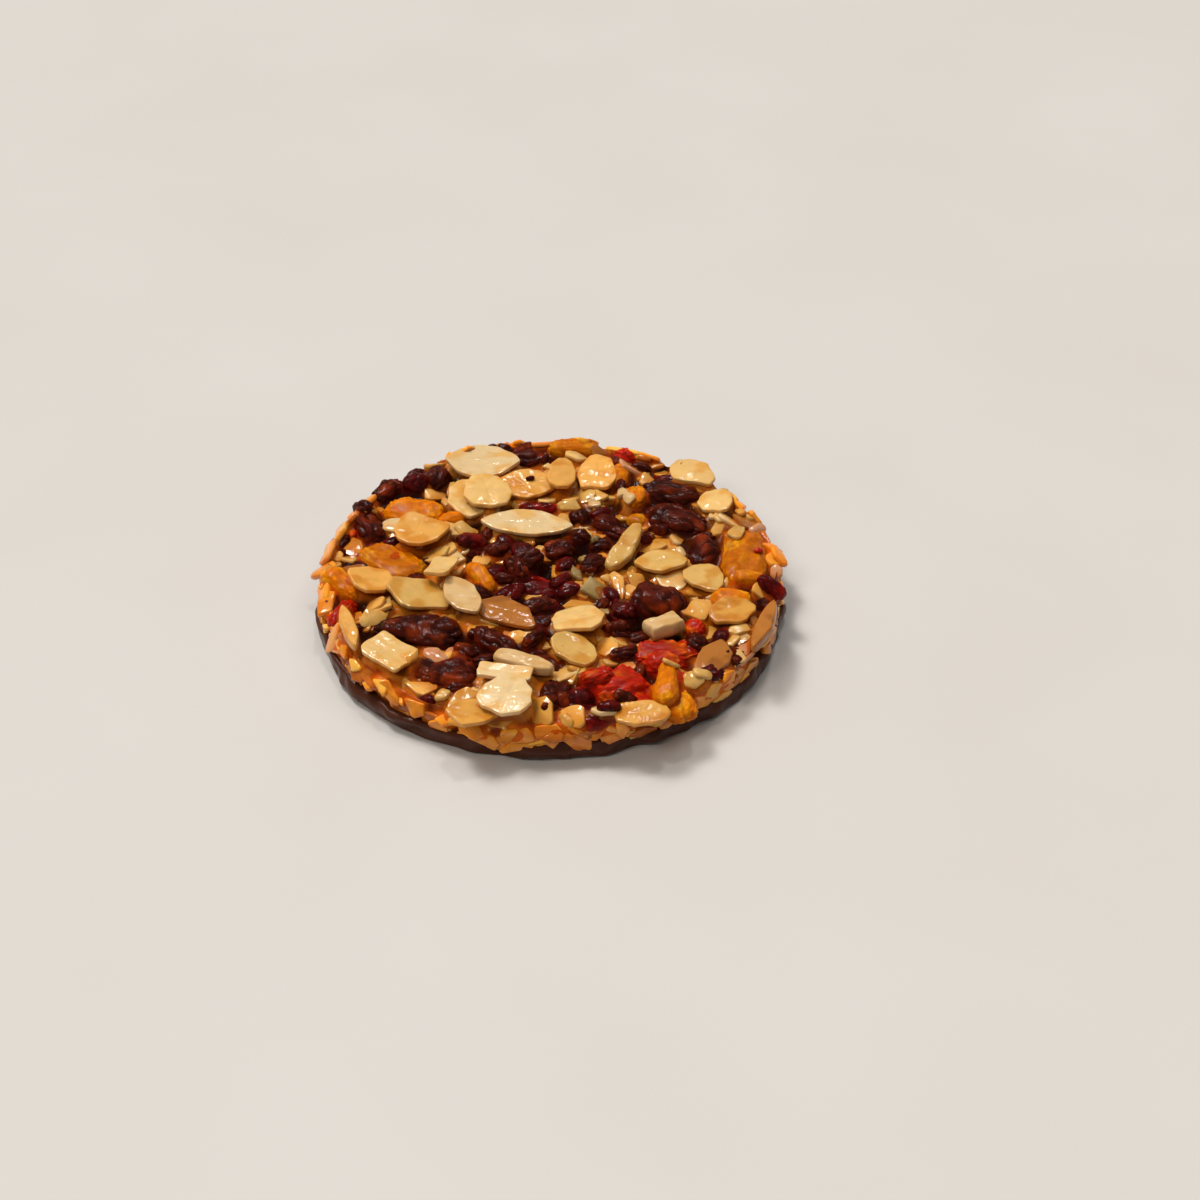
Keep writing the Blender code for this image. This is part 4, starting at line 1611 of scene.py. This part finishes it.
    def darken(self) -> int:
        """Presses bits of dark fruit into the hollows away from the golden pools, and tells how many."""
        filled = 0
        for _ in range(self.dark_tries):
            x, y = self.anywhere()
            length = self.rng.uniform(*self.dark_sizes)
            if filled == self.dark_bits or gold(x, y) > self.golden_from:
                continue
            if self.heap.on_island(x, y, 0.3 * length):
                continue
            if self.heap.lowest(x, y, 0.35 * length) <= self.dark_hollow:
                kind = Fruit.RAISIN if self.rng.uniform() < self.raisin_share else Fruit.CRANBERRY
                width = length * self.rng.uniform(*self.stack_widths)
                self.bit(kind, (x, y, length, width, self.rng.uniform(0, 360)))
                filled += 1
        return filled

    def build(self) -> Gathering:
        """Makes all the small pieces, in the order in which they come to lie.

        Returns:
            The gathered chips of almond. The bits of fruit go to the gathered fruit.
        """
        self.bed()
        self.twins()
        self.placed()
        light, dark = self.lighten(), self.darken()
        log.info("small pieces: %d under, %d and %d in hollows", self.under, light, dark)
        return self.gathered


@dataclass
class RimPieces:
    """The slivers and chips that show round the side, most of them lying along the rim."""

    count: int = 190
    low: float = 3.2
    high: float = 8.9
    proud: float = 0.3
    front_proud: float = 0.9
    lowest: float = 2.4
    front_lowest: float = 1.5
    front_way: float = 268.0
    front_spread: float = 36.0
    astray: float = 0.01
    low_fall: float = 0.4
    sunk: float = 0.8
    breaks: int = 5
    lengths: tuple[float, float] = (6.0, 14.0)
    slimness: tuple[float, float] = (0.22, 0.45)
    widest: float = 3.6
    slim: float = 0.42
    level_share: float = 0.85
    roll: float = 16.0
    lift: float = 12.0
    top_lift: float = 40.0
    top_band: float = 1.2
    soaked: tuple[float, float, float] = (1.32, 0.96, 0.28)
    shares: dict[Almond, float] = field(
        default_factory=lambda: {
            Almond.AMBER: 0.32, Almond.HONEY: 0.26, Almond.BAKED: 0.14, Almond.TAN: 0.14,
            Almond.CREAM: 0.10, Almond.ROSY: 0.04,
        }
    )

    def build(self, heap: Heap) -> Gathering:
        """Sticks the pieces to the side.

        Args:
            heap: The heap, whose rolled-out side learns where they are.

        Returns:
            The gathered pieces.
        """
        gathered = Gathering("almond_rim")
        rng = Seed.RIM.source()
        for number in range(self.count):
            way = (number * GOLDEN_SHARE + rng.uniform(-self.astray, self.astray)) % 1 * 2 * math.pi
            fall = heap.drooping(math.cos(way), math.sin(way))
            front = bell_round(math.degrees(way), self.front_way, self.front_spread)
            z = rng.uniform(self.low - self.low_fall * fall, self.high - fall)
            length = rng.uniform(*self.lengths)
            width = min(length * rng.uniform(*self.slimness), self.widest)
            is_level = rng.uniform() < self.level_share
            roll = math.radians(rng.normal(scale=self.roll) if is_level else rng.uniform(0, 180))
            near_top = z > self.high - fall - self.top_band
            lift = math.radians(rng.normal(self.lift, self.lift) + self.top_lift * near_top)
            out = np.array([math.cos(way), math.sin(way), 0.0])
            tangent = np.array([-out[1], out[0], 0.0])
            up = out * math.cos(lift) + np.array([0, 0, math.sin(lift)])
            along = tangent * math.cos(roll) + np.cross(up, tangent) * math.sin(roll)
            cut = SLIVER if width < self.slim * length else CHIP
            proud = self.proud + self.front_proud * front
            chord = length**2 / (8 * heap.radius)
            inset = cut.thickness / 2 - proud + rng.uniform(0, self.sunk) + chord
            middle = out * (heap.radius - inset) + np.array([0, 0, z])
            seat = Seat(middle, along, np.cross(up, along), up)
            ring = broken_outline(length, width, rng, 2 * cut.around, self.breaks)
            surface, depth = slice_surface(ring, cut, rng)
            tint = almond_tint(surface, depth, drawn(self.shares, rng), rng) * self.soaked
            surface = seat.place(surface)
            clear = self.lowest + (self.front_lowest - self.lowest) * front
            surface[..., 2] += max(0.0, clear - surface[..., 2].min())
            heap.lay(gathered, surface, tint, Role.FLOOR)
        return gathered


# ---------------------------------------------------------------------------------------------------------
# Caramel and chocolate


@dataclass
class CaramelBed:
    """The caramel: one body from the seam up, whose skin creeps up against every piece in the heap.

    The skin is the heap's own relief, blurred as far as caramel bridges, and a little lower. So it shows
    only in hollows and corners, and each piece stands in a rounded fillet. Its colour is that of what it
    covers, seen through caramel: amber where it is thin and nearly black where it is deep. Where it lies
    below the heap's level it is also darkened towards that deep colour, as painted shade in the hollows.
    """

    bridge: float = 0.75
    dip: float = 0.45
    side_dip: float = 0.15
    climb: float = 0.9
    thinnest: float = 0.4
    wet: float = 0.16
    wet_width: float = 7.0
    corner: float = 1.8
    bare: float = 0.3
    borrowed: float = 0.35
    hollow_depths: tuple[float, float] = (0.5, 1.3)
    rim_darkest: float = 0.35
    droop_to: float = 0.97
    drip: float = 0.35
    drip_width: float = 6.0
    under_shares: tuple[float, ...] = (0.0, 0.4, 0.8, 0.93)
    under_inset: float = 1.6
    under_gap: float = 0.1
    edge_out: float = 0.4
    edge_in: float = 0.6
    foot_gap: float = 0.15
    undercut: float = 1.3
    around: int = 640
    top_rows: int = 112
    side_rows: int = 18
    corner_rows: int = 12
    absorbed: tuple[float, float, float] = (0.6, 2.3, 5.5)
    deep: str = "#200802"
    golden: str = "#521E03"
    side_golden: str = "#8A3A06"
    # How far below the level the caramel starts and ends darkening to its deep colour: painted shade in the
    # hollows
    hollow_shade_range: tuple[float, float] = (0.7, 1.7)

    def skin(
        self, heap_map: ReliefMap, weight: Array, level: Array | float, golden: Array, dip: float
    ) -> tuple[Array, Array]:
        """The caramel over a map of the heap.

        Args:
            heap_map: The relief and colours of the pieces.
            weight: How much each cell counts.
            level: How far the mix of pieces reaches on the whole, below which hollows get painted shade.
            golden: The colour of the caramel where it is deep, and of the painted shade in hollows, in each
                cell.
            dip: How far it stands below the blurred relief.

        Returns:
            How far the caramel reaches in each cell, and its colour.
        """
        smooth = heap_map.blurred(heap_map.reach, weight, self.bridge)
        first, second = heap_map.grid()
        pools = ripples(np.stack([first, second], axis=-1), self.wet_width, Seed.POOLS.source())
        film = smooth - dip + self.wet * pools
        known = (heap_map.tint.sum(axis=2) > 0) * 1.0
        beneath = heap_map.blurred(heap_map.tint, known * weight + FAINT, self.borrowed)
        thick = np.maximum(film - heap_map.reach, self.thinnest)[..., None]
        seen = beneath * np.exp(-thick * np.array(self.absorbed))
        bare = 1 - heap_map.blurred(known, weight, self.bare)
        # Painted shade: where the caramel lies below the level, in the hollows of the heap, it darkens
        # towards its deep colour
        hollow = smoothstep(*self.hollow_shade_range, level - film)
        depth = np.maximum.reduce([smoothstep(*self.hollow_depths, thick[..., 0]), bare, hollow])
        return film, mix(seen, golden, depth)

    def films(self, heap: Heap) -> tuple[tuple[Array, Array], tuple[Array, Array]]:
        """The caramel over the top of the heap and round its side.

        Args:
            heap: The finished heap, whose loose ends are first cut back to what the caramel can prop up.

        Returns:
            For the top and for the side, how far the caramel reaches in each cell, and its colour.
        """
        off = np.hypot(heap.x, heap.y)
        inside = smoothstep(heap.radius + self.edge_out, heap.radius - self.edge_in, off) + FAINT
        edge = smoothstep(heap.droop_from, self.droop_to, off / heap.radius)
        propped = self.climb + heap.drooping(heap.x, heap.y) * edge
        held = np.maximum(heap.support, heap.islands) + propped
        heap.above.reach = np.minimum(heap.above.reach, held)
        deep = linear(self.deep)
        pools = mix(deep, linear(self.golden), gold(heap.x, heap.y))
        top = self.skin(heap.above, inside, heap.level(heap.x, heap.y), pools, self.dip)
        turn = heap.beside.grid()[0] / heap.radius
        golden = gold(heap.radius * np.cos(turn), heap.radius * np.sin(turn))
        rim_gold = mix(deep, linear(self.side_golden), self.rim_darkest + (1 - self.rim_darkest) * golden)
        even = np.ones(heap.beside.shape)
        return top, self.skin(heap.beside, even, heap.radius, rim_gold, self.side_dip)

    def build(self, heap: Heap, seam: float) -> Gathering:
        """Makes the body: underside, side, shoulder and top, row by row from the middle below.

        Args:
            heap: The finished heap.
            seam: The height of its underside.

        Returns:
            The gathered body.
        """
        (top, top_tint), (side, side_tint) = self.films(heap)
        way = around_the_clock(self.around)[None, :]
        rolled = way * heap.radius
        shelf = heap.crown + heap.rim_rise - self.corner
        rim_places = round_points(heap.radius * np.ones_like(way), way)
        drip = self.drip * ripples(rim_places, self.drip_width, Seed.DRIP.source())
        foot = seam + self.foot_gap + drip - self.drip

        under = np.array(self.under_shares)[:, None] * (heap.radius - self.under_inset) + 0 * way
        under_z = np.full_like(under, seam) + self.under_gap
        rise = np.linspace(0, 1, self.side_rows)[:, None]
        side_z = foot + (shelf - foot) * rise
        side_out = heap.beside.sampled(side, rolled + 0 * side_z, side_z) - self.undercut * (1 - rise) ** 6
        bend = np.linspace(0, math.pi / 2, self.corner_rows + 1)[1:, None] + 0 * way
        corner_out = heap.radius - self.corner + self.corner * np.cos(bend)
        corner_z = shelf + self.corner * np.sin(bend)
        beyond = heap.beside.sampled(side, rolled + 0 * corner_z, corner_z) - heap.radius
        corner_out = corner_out + np.cos(bend) ** 2 * beyond
        corner_top = heap.above.sampled(top, corner_out * np.cos(way), corner_out * np.sin(way))
        corner_z = corner_z + np.sin(bend) ** 2 * (corner_top - shelf - self.corner)
        top_out = np.linspace(1, 0, self.top_rows + 1)[1:, None] * corner_out[-1:]
        top_z = heap.above.sampled(top, top_out * np.cos(way), top_out * np.sin(way))

        out = np.concatenate([under, side_out, corner_out, top_out])
        z = np.concatenate([under_z, side_z, corner_z, top_z])
        surface = round_points(out, way, z)
        from_above = heap.above.sampled(top_tint, surface[..., 0], surface[..., 1])
        from_side = heap.beside.sampled(side_tint, rolled + 0 * out, z)
        flat = len(under) + len(side_out)
        share = np.concatenate([np.zeros(flat), np.sin(bend[:, 0]) ** 2, np.ones(len(top_out))])
        gathered = Gathering("caramel_bed")
        gathered.add(surface, mix(from_side, from_above, np.repeat(share[:, None], self.around, axis=1)))
        return gathered


@dataclass
class ChocolateDisc:
    """The chocolate under the cookie: flat below, bulging at the side, with the soft lumps of a hand dip."""

    around: int = 720
    side_rows: int = 30
    flat_shares: tuple[float, ...] = (0.0, 0.35, 0.7, 0.9)
    top_share: float = 0.97
    foot: float = 1.0
    front_swell: float = 0.25
    front_way: float = 270.0
    front_spread: float = 32.0
    softness: float = 6.0
    bulge: float = 1.2
    bulge_power: float = 0.55
    height_power: float = 0.75
    lump: float = 0.34
    lump_width: float = 8.0
    small_lump: float = 0.08
    small_width: float = 3.5
    ripple: float = 0.03
    ripple_width: float = 1.8

    def build(self) -> Gathering:
        """Makes the disc, row by row from the middle of its underside.

        The side is half a superellipse from the foot to the seam. Its radius is the CAD outline's, and lumps
        and ripples push it in and out.

        Returns:
            The gathered disc.
        """
        corners = node_corners("chocolate_base")
        height = corners[:, 2].max()
        way = around_the_clock(self.around)
        front = np.exp(-(((np.degrees(way) - self.front_way) / self.front_spread) ** 2) / 2)
        edge = softened(outline_of(corners[:, :2], self.around), self.softness) + self.front_swell * front
        rng = Seed.CHOCOLATE.source()
        flat = np.array(self.flat_shares)[:, None] * (edge - 2 * self.foot)
        angle = np.linspace(-math.pi / 2, math.pi / 2, self.side_rows)[:, None]
        bulge = np.sign(np.cos(angle)) * np.abs(np.cos(angle)) ** self.bulge_power
        side = edge - self.bulge + self.bulge * bulge
        side_z = height / 2 * (1 + np.sign(np.sin(angle)) * np.abs(np.sin(angle)) ** self.height_power)
        out = np.concatenate([flat, side, flat[::-1] * self.top_share])
        z = np.concatenate([np.zeros_like(flat), side_z + 0 * way, np.full_like(flat, height)])
        surface = round_points(out, way, z)
        lumps = self.lump * ripples(surface * [1, 1, 1.6], self.lump_width, rng)
        lumps = lumps + self.small_lump * ripples(surface, self.small_width, rng)
        ripple = self.ripple * ripples(surface * [1, 1, 0.5], self.ripple_width, rng)
        level = np.zeros(len(flat))
        share = np.concatenate([level, np.cos(angle[:, 0]) ** 0.7, level])[:, None]
        surface = round_points(out + share * (lumps + ripple), way, z)
        gathered = Gathering("chocolate_disc")
        gathered.add(surface, linear("#3A2018"))
        return gathered


ALMOND_FINISH = GlazedFinish(
    "glazed_almond",
    film=0.85,
    film_roughness=0.12,
    mottle_mm=2.5,
    soak=0.3,
    soak_colour="#FFB868",
    soak_mm=0.9,
    mottle=0.06,
    grain_depth_mm=0.012,
    ripple_mm=1.8,
    ripple_depth_mm=0.10,
    bubble_depth_mm=0.014,
    speck_mm=2.6,
    speck_radius_mm=0.13,
)
ALMOND_CHIP_FINISH = GlazedFinish(
    "glazed_almond_chips",
    soak=0.3,
    soak_colour="#FFB868",
    soak_mm=0.8,
    mottle_mm=1.6,
    mottle=0.08,
    grain_depth_mm=0.015,
    film_roughness=0.08,
    ripple_depth_mm=0.09,
    bubble_depth_mm=0.02,
    speck_radius_mm=0.12,
)
CARAMEL_FINISH = GlazedFinish(
    "set_caramel",
    roughness=(0.12, 0.25),
    soak=0.1,
    soak_colour="#A03808",
    soak_mm=0.8,
    film=0.17,
    film_roughness=0.03,
    mottle=0.15,
    ripple_depth_mm=0.16,
)
FRUIT_FINISHES = {
    Fruit.RAISIN: GlazedFinish(
        "raisin_skin",
        roughness=(0.35, 0.5),
        soak=0.1,
        soak_colour="#A03018",
        film=0.22,
        film_roughness=0.02,
        ripple_mm=0.9,
        ripple_depth_mm=0.14,
        grain_depth_mm=0.04,
    ),
    Fruit.CRANBERRY: GlazedFinish(
        "cranberry_skin",
        soak=0.1,
        soak_colour="#C01010",
        film=0.25,
        film_roughness=0.02,
        ripple_mm=1.0,
        ripple_depth_mm=0.13,
    ),
    Fruit.CHERRY: GlazedFinish(
        "candied_cherry_flesh",
        soak=0.5,
        soak_colour="#F02808",
        film=0.3,
        film_roughness=0.03,
        ripple_mm=0.9,
        ripple_depth_mm=0.25,
    ),
    Fruit.PEEL: GlazedFinish(
        "candied_orange_flesh",
        soak=0.4,
        soak_colour="#FF9020",
        film=0.22,
        film_roughness=0.03,
        ripple_mm=1.0,
        ripple_depth_mm=0.22,
        bubble_depth_mm=0.05,
    ),
}


# ---------------------------------------------------------------------------------------------------------
# Studio


@dataclass(frozen=True)
class Studio:
    """A pale table, soft light from the upper left and behind, and a camera looking down from the front."""

    lens_mm: float = 70.0
    camera_mm: tuple[float, float, float] = (9.58, -356.64, 283.24)
    elevation: float = 38.3
    sky: str = "#FFFDF8"
    sky_strength: float = 0.20
    table_m: float = 6.0

    def camera(self) -> None:
        """Makes the camera and hands it to the scene."""
        lens = bpy.data.cameras.new("camera")
        lens.lens = self.lens_mm
        lens.sensor_width = 36.0
        camera = bpy.data.objects.new("camera", lens)
        camera.location = [value * MM for value in self.camera_mm]
        camera.rotation_euler = (math.radians(90 - self.elevation), 0, 0)
        bpy.context.scene.collection.objects.link(camera)
        bpy.context.scene.camera = camera

    def lamp(
        self,
        name: str,
        way: tuple[float, float, float],
        spread: float,
        strength: float,
        colour: str = "#FFFFFF",
        mirrored: bool = False,
    ) -> None:
        """Adds a soft lamp so far off that it lights the whole table evenly.

        Args:
            name: Its name.
            way: The direction it stands in.
            spread: How wide it looks, in degrees.
            strength: Its light on a surface that faces it, in watts per square metre.
            colour: Its colour.
            mirrored: Whether wet surfaces mirror it. The broad lamps stay out, as if behind a diffuser.
        """
        light = bpy.data.lights.new(name, "SUN")
        light.angle = math.radians(spread)
        light.energy = strength
        light.color = [float(value) for value in linear(colour)]
        lamp = bpy.data.objects.new(name, light)
        away = np.array(way) / np.linalg.norm(way)
        lamp.rotation_euler = (math.acos(away[2]), 0, math.atan2(away[1], away[0]) + math.pi / 2)
        lamp.visible_glossy = mirrored
        bpy.context.scene.collection.objects.link(lamp)

    def sky_light(self) -> None:
        """Gives the scene an even pale sky."""
        world = bpy.data.worlds.new("sky")
        world.use_nodes = True
        background = world.node_tree.nodes["Background"]
        background.inputs["Color"].default_value = rgba(self.sky)
        background.inputs["Strength"].default_value = self.sky_strength
        bpy.context.scene.world = world

    def table(self) -> None:
        """Lays the pale table under everything."""
        mesh = bpy.data.meshes.new("table")
        half = self.table_m / 2
        corners = [(-half, -half, 0), (half, -half, 0), (half, half, 0), (-half, half, 0)]
        mesh.from_pydata(corners, [], [(0, 1, 2, 3)])
        mesh.materials.append(TableFinish().make())
        table = bpy.data.objects.new("table", mesh)
        bpy.context.scene.collection.objects.link(table)

    def build(self) -> None:
        """Sets everything up."""
        bpy.context.scene.view_settings.view_transform = "Standard"
        self.camera()
        self.sky_light()
        self.table()
        self.lamp("window", (-0.36, 0.38, 0.76), 26, 1.4)
        self.lamp("window_glint", (-0.36, 0.38, 0.76), 12, 1.15, mirrored=True)
        self.lamp("glint", (0.10, 0.35, 0.75), 6, 0.5, mirrored=True)
        self.lamp("low_glint", (-0.08, 0.66, 0.72), 4, 0.13, mirrored=True)
        self.lamp("bounce", (0.42, 0.30, 0.70), 24, 0.4)
        self.lamp("fill", (-0.45, -0.35, 0.70), 24, 0.9, "#FFFAF4")
        log.info("studio: camera, table and six lamps")


def main() -> None:
    """Builds the cookie from its large toppings down to the caramel, then the studio."""
    logging.basicConfig(level=logging.INFO, format="%(message)s")
    layer_low, layer_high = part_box("caramel_nut_layer")
    radius = (layer_high[0] - layer_low[0]) / 2 / MM - WALL_INSET
    heap = Heap(radius=radius, crown=layer_high[2] / MM - CREST)

    fruit = {kind: LargeFruit(kind).build(heap) for kind in Fruit}
    slices = AlmondSlices().build(heap)
    chips = SmallPieces(heap, fruit).build()
    rim = RimPieces().build(heap)
    bed = CaramelBed().build(heap, layer_low[2] / MM + SEAM)
    disc = ChocolateDisc().build()

    for kind, gathered in fruit.items():
        stem = SKINS[kind].stem
        gathered.write(FRUIT_FINISHES[kind].make(), stem, nodes_named(stem))
    slices.write(ALMOND_FINISH.make(), "almond", nodes_named("almond_"))
    chips.write(ALMOND_CHIP_FINISH.make(), "almond")
    rim.write(ALMOND_CHIP_FINISH.make(), "almond")
    bed.write(CARAMEL_FINISH.make(), "caramel", ["caramel_nut_layer"])
    disc.write(ChocolateFinish().make(), "chocolate", ["chocolate_base"])
    Studio().build()


if __name__ == "__main__":
    main()
